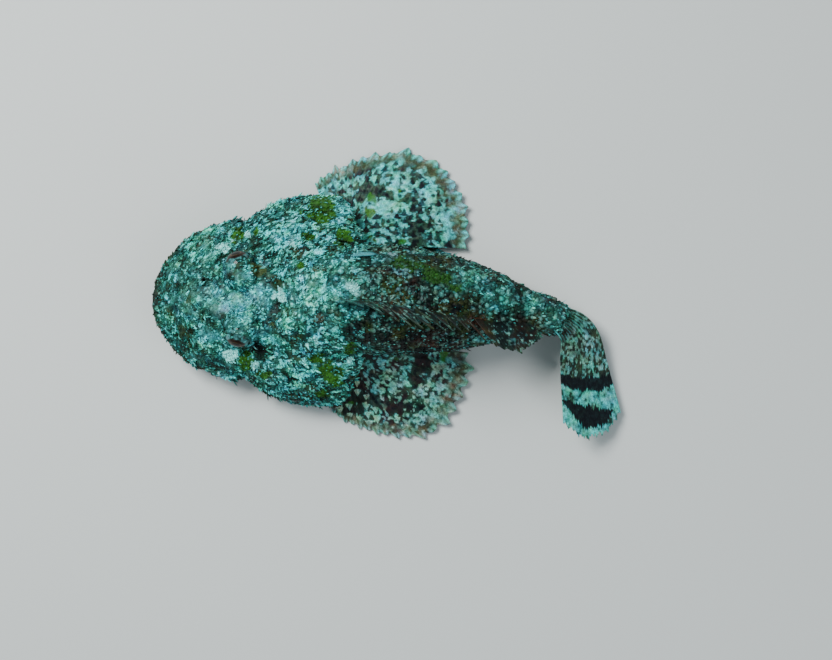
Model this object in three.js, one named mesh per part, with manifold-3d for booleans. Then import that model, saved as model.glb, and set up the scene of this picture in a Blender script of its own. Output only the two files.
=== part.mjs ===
// A scorpionfish, life size, lying on its belly with both pectoral fins spread
// and its tail curled to its own left. Units are millimetres.
// +X runs from the snout to the tail, +Y is the fish's right side and +Z is up.
// The origin is on the floor, under the middle of the belly.

import * as THREE from 'three';
import Module from 'manifold-3d';
import { mergeVertices } from 'three/addons/utils/BufferGeometryUtils.js';

const wasm = await Module();
wasm.setup();
const { smoothstep, degToRad, lerp, clamp, seededRandom } = THREE.MathUtils;

// Driving dimensions
const STANDARD_LENGTH = 220; // snout to the end of the tail stalk, along the body
const BELLY_REST = 100; // distance of the origin behind the snout
const NOSE_LENGTH = 24; // stretch over which the snout rounds off
const HEAD_END = 92; // back of the skull, under the gill covers
const TRUNK_MIDDLE = 134; // where the trunk is parted into two lengths
const TRUNK_END = 178; // where the tail stalk begins
const CLEARANCE = 0.3; // gap between pieces that meet
const AROUND = 36; // facets round the body
const FINEST_DETAIL = 0.07; // anything flatter or shorter than this is merged away

// Eyes
const EYE_RADIUS = 8;
const EYE_AT = { s: 48.4, y: 17.4, z: 46.2 };
const EYE_LOOK = new THREE.Vector3(-0.22, 0.86, 0.46).normalize();
const EYE_DOME_RADIUS = 10.2;
const EYE_DOME_INSET = 3.4; // the dome's centre lies this far inside the eyeball's

// Mouth
const MOUTH_TIP_HEIGHT = 20;
const MOUTH_CORNER = { s: 47, z: 12 };
const JAW_END = 58; // where the lower jaw ends on the throat
const LIP_RADIUS = 1.7;

// Fins
const DORSAL_SPINES = 12;
const DORSAL_RAYS = 10;
const ANAL_SPINES = 3;
const ANAL_RAYS = 5;
const PECTORAL_RAYS = 19;
const PELVIC_RAYS = 5;
const TAIL_RAYS = 13;
const TAIL_FIN_LENGTH = 70;
const TAIL_ROUNDING = 0.16; // share of that length by which its outer rays are shorter
const RAY_HALF = 0.85; // half thickness of a fin at a ray
const WEB_HALF = 0.32; // half thickness of the membrane between rays
const ROOT_SINK = 3; // how deep a fin's root starts inside the body, before it is cut clear

// A smooth curve through a few stations [where, value] that never overshoots them.
function profile(stations) {
  const x = stations.map((station) => station[0]);
  const y = stations.map((station) => station[1]);
  const last = x.length - 1;
  const slope = (i) => (y[i + 1] - y[i]) / (x[i + 1] - x[i]);
  const tangent = x.map((_, i) => {
    if (i === 0) return slope(0);
    if (i === last) return slope(last - 1);
    const before = slope(i - 1);
    const after = slope(i);
    return before * after <= 0 ? 0 : (2 * before * after) / (before + after);
  });
  return (at) => {
    const t = clamp(at, x[0], x[last]);
    let i = 0;
    while (i < last - 1 && t > x[i + 1]) i += 1;
    const span = x[i + 1] - x[i];
    const f = (t - x[i]) / span;
    const bend = f * f * (3 - 2 * f);
    const leave = f * (1 - f) * (1 - f) * span * tangent[i];
    const arrive = f * f * (f - 1) * span * tangent[i + 1];
    return lerp(y[i], y[i + 1], bend) + leave + arrive;
  };
}

// The body's profiles along the distance s behind the snout
const backHeight = profile([
  [0, 27], [14, 34], [30, 42], [48, 48], [70, 55], [92, 63], [116, 67],
  [150, 59], [180, 43], [200, 34], [220, 31],
]);
const bellyHeight = profile([
  [0, 4], [14, 0.5], [24, -0.8], [102, -0.8], [112, 3.2], [150, 4.2], [178, 9], [200, 12.5], [220, 10.5],
]);
const halfWidth = profile([
  [0, 27], [24, 36], [46, 42], [64, 43], [80, 40], [92, 36], [104, 31.5], [112, 29],
  [132, 28.6], [145, 27], [159, 25], [186, 18.5], [205, 11.5], [220, 8],
]);
const widestHeight = profile([
  [0, 20], [20, 16], [60, 16], [92, 22], [116, 29], [150, 29], [180, 26], [220, 20.5],
]);
const upperFullness = profile([[0, 1.9], [40, 1.75], [92, 1.85], [130, 2], [220, 2]]);
const lowerFullness = profile([[0, 2.2], [24, 3.2], [100, 3.2], [150, 2.4], [220, 2]]);
const gillBulge = profile([
  [50, 0.6], [56, 5], [64, 9.8], [80, 17.6], [92, 21.8], [100, 22.6], [105, 18.5], [112, 5.6],
]);
const gillLowEdge = profile([[50, 9], [60, 5], [84, 5], [92, 8.5], [97, 13.5], [105, 23], [112, 32]]);
const gillHighEdge = profile([[50, 34], [64, 40], [90, 44], [104, 41], [112, 38]]);
const gillThickness = profile([[50, 40], [88, 40], [94, 3.2], [112, 2.4]]);

// The spine's heading turns to the left along the tail, and the tail rolls to the left.
const heading = (s) =>
  -degToRad(6 * smoothstep(s, 105, 170) + 16 * smoothstep(s, 200, 222) + 60 * smoothstep(s, 218, 242));
const roll = (s) =>
  degToRad(9 * smoothstep(s, 110, 150) + 22 * smoothstep(s, 150, 205) + 27 * smoothstep(s, 205, 236));
const rollHeight = (s) =>
  (backHeight(s) + bellyHeight(s)) / 2 - 5.5 * smoothstep(s, STANDARD_LENGTH, 266);

// Spine points every millimetre, by adding up the heading
const SPINE_REACH = 300;
const spine = [new THREE.Vector2(-BELLY_REST, 0)];
for (let s = 1; s <= SPINE_REACH; s += 1) {
  const turn = heading(s - 0.5);
  spine.push(spine[s - 1].clone().add(new THREE.Vector2(Math.cos(turn), Math.sin(turn))));
}
function spinePoint(s) {
  const step = clamp(Math.floor(s), 0, SPINE_REACH - 1);
  return spine[step].clone().lerp(spine[step + 1], s - step);
}

// A point beside the spine: s along it, y to the fish's right, z above the floor.
function place(s, y, z, rolled = true) {
  const turn = heading(s);
  const tilt = rolled ? roll(s) : 0;
  const centre = rollHeight(s);
  const across = y * Math.cos(tilt) - (z - centre) * Math.sin(tilt);
  const up = rolled ? centre + y * Math.sin(tilt) + (z - centre) * Math.cos(tilt) : z;
  const at = spinePoint(s);
  return new THREE.Vector3(at.x - Math.sin(turn) * across, at.y + Math.cos(turn) * across, up);
}
const placeLevel = (s, y, z) => place(s, y, z, false);

// Low relief on the head's roof: height added at s, and y either side of the middle
const mound = (distance, width) => Math.exp(-((distance / width) ** 2));
function relief(s, y) {
  const off = Math.abs(y);
  const snoutHump = 3 * mound(s - 21, 9) * mound(off, 8);
  const browTrough = -5 * mound(s - 50, 11) * mound(off, 7.5);
  const napePit = -3.5 * mound(s - 68, 4.5) * mound(off, 9);
  const napeRidge = 2.4 * mound(s - 76, 10) * mound(off - 13, 4);
  const cheekRidge = 1.8 * mound(s - 48, 15) * mound(off - 33, 4);
  const cheekHollow = -2.2 * mound(s - 42, 12) * mound(off - 26, 4.5);
  return snoutHump + browTrough + napePit + napeRidge + cheekRidge + cheekHollow;
}

// How far the rounded nose has opened at s, from 0 at the tip to 1
const noseOpening = (s) => Math.sqrt(Math.max(0, 1 - (1 - Math.min(s / NOSE_LENGTH, 1)) ** 2));

// Measures of the body's section at s, with every surface moved out by grow
function sectionAt(s, grow = 0) {
  const open = noseOpening(s);
  const middle = widestHeight(s);
  return {
    middle,
    half: halfWidth(s) * open + grow,
    top: middle + (backHeight(s) - middle) * open + grow,
    bottom: middle - (middle - bellyHeight(s)) * open - grow,
    upper: upperFullness(s),
    lower: lowerFullness(s),
  };
}

// A point of the section at an angle from the top of the back
function sectionPoint(s, angle, grow = 0) {
  const section = sectionAt(s, grow);
  const across = Math.sin(angle);
  const up = Math.cos(angle);
  const power = 2 / (up > 0 ? section.upper : section.lower);
  const y = section.half * Math.sign(across) * Math.abs(across) ** power;
  const rise = Math.abs(up) ** power;
  if (up > 0) return [y, lerp(section.middle, section.top, rise) + relief(s, y) * up];
  return [y, Math.max(lerp(section.middle, section.bottom, rise), -grow)];
}

// Half the body's width at a height, and the height of its roof at a distance off the middle
function sideAt(s, z) {
  const section = sectionAt(s);
  const above = z > section.middle;
  const reach = above ? section.top - section.middle : section.middle - section.bottom;
  const power = above ? section.upper : section.lower;
  const part = Math.min(Math.abs(z - section.middle) / reach, 1);
  return section.half * (1 - part ** power) ** (1 / power);
}
function roofAt(s, y) {
  const section = sectionAt(s);
  const part = Math.min(Math.abs(y) / section.half, 1);
  const rise = (1 - part ** section.upper) ** (1 / section.upper);
  return lerp(section.middle, section.top, rise) + relief(s, y) * rise;
}

// Geometry from shared vertices and triangles, wound so that its faces point out
function closedGeometry(points, triangles) {
  const geometry = new THREE.BufferGeometry().setFromPoints(points);
  let volume = 0;
  for (const [a, b, c] of triangles) {
    volume += points[a].dot(new THREE.Vector3().crossVectors(points[b], points[c]));
  }
  const wound = volume < 0 ? triangles.map(([a, b, c]) => [a, c, b]) : triangles;
  geometry.setIndex(wound.flat());
  return geometry;
}

// A closed tube through rings of equally many points, with a point at each end
function loft(rings, startPoint, endPoint) {
  const count = rings[0].length;
  const points = [startPoint, ...rings.flat(), endPoint];
  const triangles = [];
  const at = (ring, i) => 1 + ring * count + (i % count);
  for (let i = 0; i < count; i += 1) {
    triangles.push([0, at(0, i), at(0, i + 1)]);
    triangles.push([points.length - 1, at(rings.length - 1, i + 1), at(rings.length - 1, i)]);
    for (let ring = 0; ring < rings.length - 1; ring += 1) {
      triangles.push([at(ring, i), at(ring + 1, i), at(ring + 1, i + 1)]);
      triangles.push([at(ring, i), at(ring + 1, i + 1), at(ring, i + 1)]);
    }
  }
  return closedGeometry(points, triangles);
}

// A thin plate: points in columns and rows, thickened both ways with triangles alike on both faces
function plate(columns, rows, pointAt, halfAt) {
  const grid = Array.from({ length: columns }, (_, i) => Array.from({ length: rows }, (_, j) => pointAt(i, j)));
  const points = [];
  for (const side of [1, -1]) {
    for (let i = 0; i < columns; i += 1) {
      for (let j = 0; j < rows; j += 1) {
        const along = grid[Math.min(i + 1, columns - 1)][j].clone().sub(grid[Math.max(i - 1, 0)][j]);
        const out = grid[i][Math.min(j + 1, rows - 1)].clone().sub(grid[i][Math.max(j - 1, 0)]);
        const normal = along.cross(out).normalize();
        points.push(grid[i][j].clone().addScaledVector(normal, side * halfAt(i, j)));
      }
    }
  }
  const front = (i, j) => i * rows + j;
  const back = (i, j) => columns * rows + i * rows + j;
  const triangles = [];
  for (let i = 0; i < columns - 1; i += 1) {
    for (let j = 0; j < rows - 1; j += 1) {
      triangles.push([front(i, j), front(i + 1, j), front(i + 1, j + 1)]);
      triangles.push([front(i, j), front(i + 1, j + 1), front(i, j + 1)]);
      triangles.push([back(i, j), back(i + 1, j + 1), back(i + 1, j)]);
      triangles.push([back(i, j), back(i, j + 1), back(i + 1, j + 1)]);
    }
  }
  const edge = [];
  for (let i = 0; i < columns - 1; i += 1) edge.push([i, 0]);
  for (let j = 0; j < rows - 1; j += 1) edge.push([columns - 1, j]);
  for (let i = columns - 1; i > 0; i -= 1) edge.push([i, rows - 1]);
  for (let j = rows - 1; j > 0; j -= 1) edge.push([0, j]);
  edge.forEach(([i, j], k) => {
    const [iNext, jNext] = edge[(k + 1) % edge.length];
    triangles.push([front(i, j), back(i, j), back(iNext, jNext)]);
    triangles.push([front(i, j), back(iNext, jNext), front(iNext, jNext)]);
  });
  return closedGeometry(points, triangles);
}

// Exact solids for joining and cutting
function solidOf(geometry) {
  const bare = geometry.clone();
  bare.deleteAttribute('normal');
  bare.deleteAttribute('uv');
  const merged = mergeVertices(bare, 1e-5);
  return new wasm.Manifold(
    new wasm.Mesh({
      numProp: 3,
      vertProperties: new Float32Array(merged.attributes.position.array),
      triVerts: new Uint32Array(merged.index.array),
    }),
  );
}
const joined = (first, others) => others.reduce((sum, other) => sum.add(other), first);
function largestBody(solid) {
  return solid.decompose().reduce((best, piece) => (piece.volume() > best.volume() ? piece : best));
}
function geometryOf(solid) {
  const mesh = largestBody(largestBody(solid).simplify(FINEST_DETAIL)).getMesh();
  const geometry = new THREE.BufferGeometry();
  geometry.setAttribute('position', new THREE.BufferAttribute(new Float32Array(mesh.vertProperties), 3));
  geometry.setIndex(Array.from(mesh.triVerts));
  geometry.computeVertexNormals();
  return geometry;
}
// A closed three.js geometry, moved to a place and turned so that its own +Y points along a direction
function placed(geometry, at, direction, sizes = new THREE.Vector3(1, 1, 1)) {
  const upright = new THREE.Vector3(0, 1, 0);
  const turn = new THREE.Quaternion().setFromUnitVectors(upright, direction.clone().normalize());
  return solidOf(geometry.applyMatrix4(new THREE.Matrix4().compose(at, turn, sizes)));
}

// The whole body, before it is parted
function stations(from, to, step) {
  const count = Math.round((to - from) / step);
  return Array.from({ length: count }, (_, i) => lerp(from, to, (i + 1) / count));
}
const NOSE_RINGS = 6;
const noseStations = Array.from({ length: NOSE_RINGS }, (_, i) =>
  NOSE_LENGTH * (1 - Math.cos((((i + 1) / NOSE_RINGS) * Math.PI) / 2)));
const bodyStations = [
  ...noseStations,
  ...stations(NOSE_LENGTH, HEAD_END, 4.3),
  ...stations(HEAD_END, TRUNK_END, 7.8),
  ...stations(TRUNK_END, STANDARD_LENGTH, 5),
];
function bodySolid(grow = 0) {
  const rings = bodyStations.map((s) =>
    Array.from({ length: AROUND }, (_, i) => place(s, ...sectionPoint(s, (i / AROUND) * 2 * Math.PI, grow))));
  const noseTip = place(0, 0, widestHeight(0)).add(new THREE.Vector3(-grow, 0, 0));
  const tailEnd = place(STANDARD_LENGTH + 2.5 + grow, 0, rollHeight(STANDARD_LENGTH));
  return solidOf(loft(rings, noseTip, tailEnd));
}
// A wide thin slab across the body, centred at s
function crossCut(s, thickness) {
  const slab = new THREE.BoxGeometry(thickness, 160, 160);
  slab.rotateZ(heading(s));
  const at = spinePoint(s);
  slab.translate(at.x, at.y, 40);
  return solidOf(slab);
}

// Gill covers: a bulging plate on each cheek whose hind edge stands free
const COVER_RINGS = 12;
const COVER_POINTS = 9;
function gillCover(side, grow = 0) {
  const ringAt = (s) => {
    const low = gillLowEdge(s) - grow;
    const high = gillHighEdge(s) + grow;
    const outer = [];
    const inner = [];
    for (let i = 0; i < COVER_POINTS; i += 1) {
      const part = i / (COVER_POINTS - 1);
      const z = lerp(low, high, part);
      const rounding = 1.2 * Math.abs(2 * part - 1) ** 6;
      const y = sideAt(s, z) + 0.9 + gillBulge(s) * (1 - part ** 1.6) - rounding + grow;
      outer.push(place(s, side * y, z));
      inner.push(place(s, side * (y - gillThickness(s) + rounding - 2 * grow), z));
    }
    return [...outer, ...inner.reverse()];
  };
  const first = 50 - grow;
  const last = 112 + grow;
  const rings = Array.from({ length: COVER_RINGS }, (_, i) => ringAt(lerp(first, last, i / (COVER_RINGS - 1))));
  const centreOf = (ring) => ring.reduce((sum, p) => sum.add(p), new THREE.Vector3()).divideScalar(ring.length);
  return solidOf(loft(rings, centreOf(rings[0]), centreOf(rings[rings.length - 1])));
}

// A sharp bony spine, rooted in the surface
function thorn(at, direction, length, radius) {
  const sink = length * 0.35;
  const cone = new THREE.ConeGeometry(radius, length + sink, 4).translate(0, (length - sink) / 2, 0);
  return placed(cone, at, direction);
}
// A soft skin flap: a narrow leaf that bends over towards the tail
function skinFlap(at, direction, length, width, bend = 0.5) {
  const up = direction.clone().normalize();
  const back = new THREE.Vector3(1, 0, 0).addScaledVector(up, -up.x).normalize();
  const across = new THREE.Vector3().crossVectors(up, back);
  const leafWidth = [0.45, 0.5, 0.16];
  const rows = leafWidth.length;
  const pointAt = (i, j) => {
    const along = lerp(-0.3, 1, j / (rows - 1));
    return at.clone()
      .addScaledVector(up, along * length)
      .addScaledVector(back, bend * length * Math.max(along, 0) ** 2)
      .addScaledVector(across, (i - 0.5) * 2 * leafWidth[j] * width);
  };
  return solidOf(plate(2, rows, pointAt, (i, j) => lerp(0.5, 0.3, j / (rows - 1))));
}

// Points on the head's surface, and the way out of it there
const sided = (side, s, y, z) => place(s, side * y, z);
const roofPoint = (side, s, y) => sided(side, s, y, roofAt(s, y));
const flankPoint = (side, s, z) => sided(side, s, sideAt(s, z), z);
function outward(pointAt, side, s, other) {
  const step = 1.5;
  const alongBody = pointAt(side, s + step, other).sub(pointAt(side, s - step, other));
  const aroundBody = pointAt(side, s, other + step).sub(pointAt(side, s, other - step));
  const normal = alongBody.cross(aroundBody).normalize();
  const centre = place(s, 0, widestHeight(s));
  return normal.dot(pointAt(side, s, other).sub(centre)) < 0 ? normal.negate() : normal;
}
const BACKWARD = new THREE.Vector3(1, 0, 0);

// Thorns of the head roof: s, y, length, radius
const ROOF_THORNS = [
  [24, 5, 3, 1.6], [40, 10.5, 3.2, 1.7], [47, 8.6, 3.2, 1.7], [58.5, 10.5, 3.6, 1.8],
  [66, 13.5, 4, 1.9], [74, 12.5, 4.4, 2], [81, 14.5, 4.4, 2], [72, 21, 4, 1.9], [84, 24, 4, 1.9],
];
// Thorns of the cheek: s, z, length, radius
const CHEEK_THORNS = [[24, 24, 3, 1.8], [33, 25, 3, 1.8], [46, 28, 3.4, 1.8]];
// Skin flaps of the head: s, y on the roof, length, width
const ROOF_FLAPS = [
  [27, 7.6, 4, 1.7], [45, 14.5, 9, 2.2], [56, 15.5, 6, 1.8], [36, 24, 4.5, 1.8], [62, 27, 4.5, 2],
];
// Skin flaps of the snout's side and the cheek: s, z, length, width
const CHEEK_FLAPS = [
  [10, 22, 3.5, 1.6], [20, 21, 4.5, 2], [31, 20, 5, 2.4], [42, 17, 4.5, 2.2], [50, 24, 4, 1.8],
];
// Skin flaps under the lower jaw's edge: s, z, length, width
const JAW_FLAPS = [[3, 13, 3, 1.6], [10, 8, 4, 1.8], [19, 6.5, 4.5, 2], [29, 6, 4.5, 2], [40, 6, 4, 2]];

const roofThorns = (side) => ROOF_THORNS.map(([s, y, length, radius]) => {
  const direction = outward(roofPoint, side, s, y).addScaledVector(BACKWARD, 0.9);
  return thorn(roofPoint(side, s, y), direction, length, radius);
});
const flankThorns = (side, list) => list.map(([s, z, length, radius]) => {
  const direction = outward(flankPoint, side, s, z).addScaledVector(BACKWARD, 0.9);
  return thorn(flankPoint(side, s, z), direction, length, radius);
});
const roofFlaps = (side, list) => list.map(([s, y, length, width]) =>
  skinFlap(roofPoint(side, s, y), outward(roofPoint, side, s, y), length, width));
const flankFlaps = (side, list) => list.map(([s, z, length, width]) =>
  skinFlap(flankPoint(side, s, z), outward(flankPoint, side, s, z), length, width, 0.8));

// The line of the mouth, level at the front and lower at its corners
const mouthHeight = (s) => lerp(MOUTH_TIP_HEIGHT, MOUTH_CORNER.z, clamp(s / MOUTH_CORNER.s, -0.1, 1.3));
function jawSpace(gap) {
  const outline = new THREE.Shape();
  outline.moveTo(-10, -10);
  outline.lineTo(JAW_END + gap, -10);
  outline.lineTo(MOUTH_CORNER.s + gap, mouthHeight(MOUTH_CORNER.s) + gap);
  outline.lineTo(-10, mouthHeight(-10) + gap);
  const block = new THREE.ExtrudeGeometry(outline, { depth: 160, bevelEnabled: false });
  block.rotateX(Math.PI / 2);
  block.translate(-BELLY_REST, 80, 0);
  return solidOf(block);
}
// A lip: a roll along the mouth's edge, above it or below it
function lip(above) {
  const steps = 20;
  const offset = above ? LIP_RADIUS * 0.9 : -LIP_RADIUS * 0.9;
  const path = Array.from({ length: steps + 1 }, (_, i) => {
    const part = (i / steps) * 2 - 1;
    const s = 0.6 + (MOUTH_CORNER.s - 3) * Math.abs(part) ** 1.7;
    const z = mouthHeight(s) + offset;
    return place(s, Math.sign(part) * (sideAt(s, z) - 0.5), z);
  });
  const curve = new THREE.CatmullRomCurve3(path);
  const round = new THREE.Shape().absarc(0, 0, LIP_RADIUS, 0, 2 * Math.PI);
  return solidOf(new THREE.ExtrudeGeometry(round, { steps, curveSegments: 3, extrudePath: curve }));
}
// The end of the upper jaw bone, a flat oval on the cheek over the mouth's corner
function maxilla(side) {
  const s = 37;
  const z = mouthHeight(s) + 4.2;
  const front = flankPoint(side, s - 8, mouthHeight(s - 8) + 3.6);
  const back = flankPoint(side, s + 8, mouthHeight(s + 8) + 4.6);
  const oval = new THREE.SphereGeometry(1, 10, 6);
  return placed(oval, flankPoint(side, s, z), back.sub(front), new THREE.Vector3(2.2, 11, 4));
}

// Eyes
const eyeCentre = (side) => sided(side, EYE_AT.s, EYE_AT.y, EYE_AT.z);
const eyeLook = (side) => new THREE.Vector3(EYE_LOOK.x, side * EYE_LOOK.y, EYE_LOOK.z);
function eyeDome(side) {
  const dome = new THREE.SphereGeometry(EYE_DOME_RADIUS, 14, 9);
  return placed(dome, eyeCentre(side).addScaledVector(eyeLook(side), -EYE_DOME_INSET), eyeLook(side));
}
// The raised rim of the eye socket, which the skin closes over like a lid
function eyeRim(side) {
  const rim = new THREE.TorusGeometry(EYE_RADIUS * 0.9, 1.3, 4, 16).rotateX(Math.PI / 2);
  return placed(rim, eyeCentre(side).addScaledVector(eyeLook(side), EYE_RADIUS * 0.47), eyeLook(side));
}
function eyeball(side, grow = 0) {
  return placed(new THREE.SphereGeometry(EYE_RADIUS + grow, 14, 9), eyeCentre(side), eyeLook(side));
}
// Each nostril is a short tube with an open pit
const NOSTRIL = { s: 29.5, y: 10 };
function nostril(side, radius, height) {
  const at = roofPoint(side, NOSTRIL.s, NOSTRIL.y);
  const tube = new THREE.CylinderGeometry(radius, radius * 1.25, height, 10);
  return placed(tube, at, outward(roofPoint, side, NOSTRIL.s, NOSTRIL.y));
}

// Columns of a fin, each with its place across the fin, its reach and its thickness
function rayColumns(rays, notch) {
  const columns = [];
  for (let ray = 0; ray < rays; ray += 1) {
    columns.push({ across: ray / (rays - 1), reach: 1, half: RAY_HALF });
    if (ray < rays - 1) columns.push({ across: (ray + 0.5) / (rays - 1), reach: notch, half: WEB_HALF });
  }
  return columns;
}
// Spines stand out of the membrane, which dips behind each of them
function spineColumns(spines, spineWidth) {
  const columns = [];
  for (let k = 0; k < spines; k += 1) {
    const at = k / (spines - 1);
    if (k > 0) columns.push({ across: at - spineWidth, reach: 0.66, half: WEB_HALF });
    columns.push({ across: at, reach: 1, half: RAY_HALF * 1.15 });
    if (k < spines - 1) {
      columns.push({ across: at + spineWidth, reach: 0.9, half: WEB_HALF });
      columns.push({ across: at + 0.5 / (spines - 1), reach: 0.6, half: WEB_HALF });
    }
  }
  return columns;
}
function fin(columns, rows, pointAt, taper = 0.45) {
  const alongAt = (j) => j / (rows - 1);
  return solidOf(plate(
    columns.length,
    rows,
    (i, j) => pointAt(columns[i].across, alongAt(j) * columns[i].reach, columns[i]),
    (i, j) => Math.max(columns[i].half * lerp(1, taper, alongAt(j)), 0.27),
  ));
}

// Dorsal fin: strong spines in front and soft rays behind, folded back and to the left
const spineLength = profile([
  [0, 14], [0.1, 21], [0.2, 27], [0.3, 28.5], [0.5, 26], [0.75, 20], [0.92, 14], [1, 18],
]);
const softLength = profile([[0, 20], [0.3, 23], [0.7, 19], [1, 12]]);
function dorsalPoint(s, along, length, back, side) {
  const rise = -ROOT_SINK + along * (length + ROOT_SINK);
  return place(s + rise * Math.sin(back), -Math.max(rise, 0) * Math.cos(back) * Math.sin(side),
    backHeight(s) + rise * Math.cos(back) * Math.cos(side));
}
const dorsalSpiny = fin(spineColumns(DORSAL_SPINES, 0.013), 5, (across, along) => {
  const back = degToRad(lerp(38, 52, across));
  const side = degToRad(lerp(14, 28, across));
  return dorsalPoint(lerp(95, 165, across), along, spineLength(across), back, side);
});
const dorsalSoft = fin(rayColumns(DORSAL_RAYS, 0.93), 6, (across, along) => {
  const back = degToRad(lerp(50, 60, across));
  return dorsalPoint(lerp(171, 202, across), along, softLength(across), back, degToRad(40));
});

// Tail fin: rays fan from the end of the stalk
const TAIL_ROOT = 216.5;
const TAIL_ROOT_HALF = 9.6;
const TAIL_TIP_HALF = 20;
const tailFin = fin(rayColumns(TAIL_RAYS, 0.965), 7, (across, along) => {
  const off = across * 2 - 1;
  const reach = TAIL_FIN_LENGTH * (1 - TAIL_ROUNDING * off * off);
  const s = TAIL_ROOT + along * (reach + 4);
  const spread = lerp(TAIL_ROOT_HALF, TAIL_TIP_HALF, along ** 0.8);
  const ripple = 0.9 * Math.sin(along * 5 + off * 3) * along;
  return place(s, ripple, rollHeight(s) + off * spread);
});

// Pectoral fins: broad fans from behind the gill covers down to the floor.
// Rays swing from the leading angle round to the trailing one, measured from straight back.
const PECTORAL_CENTRE = { s: 104, y: 35 };
const PECTORAL_ROOT = { sLow: 101, sHigh: 107, zLow: 6, zHigh: 26.5 };
const RIGHT_FAN = {
  lead: 122,
  trail: -3,
  reach: profile([[-3, 65], [16, 65], [38, 64], [57, 59.3], [73, 50], [93, 42.5], [122, 37]]),
};
const LEFT_FAN = {
  lead: 114,
  trail: -8,
  reach: profile([
    [-8, 72.5], [0, 73.5], [18, 71.5], [34, 67], [46, 57.6], [56, 49.6], [77, 38.2], [91, 34], [114, 28.2],
  ]),
};
function pectoral(side, fan) {
  return fin(rayColumns(PECTORAL_RAYS, 0.93), 6, (across, along) => {
    const angle = lerp(fan.lead, fan.trail, across);
    const length = fan.reach(angle);
    const turn = degToRad(angle);
    const rootS = lerp(PECTORAL_ROOT.sLow, PECTORAL_ROOT.sHigh, across);
    const rootZ = lerp(PECTORAL_ROOT.zLow, PECTORAL_ROOT.zHigh, across);
    const rootY = sideAt(rootS, rootZ) - ROOT_SINK;
    const tipS = PECTORAL_CENTRE.s + length * Math.cos(turn);
    const tipY = PECTORAL_CENTRE.y + length * Math.sin(turn);
    const tipZ = lerp(1.1, 5, across ** 2);
    const outFirst = 1 - (1 - along) ** 1.35;
    const pleat = 0.7 * Math.sin(across * 17 + 1) * along;
    return placeLevel(
      lerp(rootS, tipS, along),
      side * lerp(rootY, tipY, lerp(along, outFirst, 0.55 * across)),
      lerp(rootZ, tipZ, 1 - (1 - along) ** 1.6) + Math.max(pleat, -0.3) * (1 - along * (1 - across)),
    );
  });
}

// Pelvic fins: short fans that lie on the floor under the belly
const pelvicReach = profile([[0, 38], [0.3, 52], [0.55, 52], [0.8, 46], [1, 36]]);
function pelvic(side) {
  return fin(rayColumns(PELVIC_RAYS + 1, 0.9), 6, (across, along) => {
    const turn = degToRad(lerp(32, 4, across));
    const length = pelvicReach(across);
    const rootS = lerp(106, 110, across);
    const rootY = lerp(14, 8, across);
    return placeLevel(
      rootS + along * length * Math.cos(turn),
      side * (rootY + along * length * Math.sin(turn)),
      lerp(4.4, 1.05, smoothstep(along, 0, 0.3)),
    );
  });
}

// Anal fin: three strong spines and five rays, laid out to the right along the floor
const analLength = profile([[0, 15], [0.14, 27], [0.3, 25], [0.6, 23], [1, 13]]);
const analFin = fin(rayColumns(ANAL_SPINES + ANAL_RAYS, 0.86), 6, (across, along) => {
  const s = lerp(147, 172, across);
  const length = analLength(across);
  const back = degToRad(lerp(24, 50, across));
  const root = place(s, 0, bellyHeight(s) + ROOT_SINK);
  const tip = placeLevel(s + length * Math.sin(back), 0.75 * length * Math.cos(back), 1.1);
  const low = lerp(root.z, tip.z, 1 - (1 - along) ** 2.2);
  return root.lerp(tip, along).setZ(low);
});

// Assemble the solids and keep them clear of one another
const SIDES = [['left', -1], ['right', 1]];
const body = bodySolid();
const bodyGrown = bodySolid(CLEARANCE);
const coversGrown = SIDES.map(([, side]) => gillCover(side, CLEARANCE));

const jawBlock = jawSpace(-CLEARANCE / 2);
const jawBlockGrown = jawSpace(CLEARANCE / 2);
const headBlock = solidOf(new THREE.BoxGeometry(130, 200, 200).translate(-BELLY_REST + HEAD_END - 65, 0, 40));

const skull = body.intersect(headBlock);
let head = joined(skull, SIDES.flatMap(([, side]) => [
  eyeDome(side), eyeRim(side), maxilla(side), nostril(side, 2, 2.6),
  ...roofThorns(side), ...flankThorns(side, CHEEK_THORNS),
  ...roofFlaps(side, ROOF_FLAPS), ...flankFlaps(side, CHEEK_FLAPS),
]));
head = head.add(lip(true)).subtract(jawBlockGrown);
for (const [, side] of SIDES) {
  head = head.subtract(eyeball(side, CLEARANCE)).subtract(nostril(side, 1.1, 6));
  head = head.subtract(gillCover(side, CLEARANCE));
}
const lowerJaw = joined(skull.intersect(jawBlock), [
  lip(false).intersect(jawBlock),
  ...SIDES.flatMap(([, side]) => flankFlaps(side, JAW_FLAPS)),
]).subtract(joined(coversGrown[0], [coversGrown[1]]));

let rearBody = body.subtract(headBlock.translate([CLEARANCE, 0, 0]));
rearBody = rearBody.subtract(crossCut(TRUNK_MIDDLE, CLEARANCE)).subtract(crossCut(TRUNK_END, CLEARANCE));
const lengths = rearBody.decompose().sort((a, b) => a.boundingBox().min[0] - b.boundingBox().min[0]);

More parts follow.
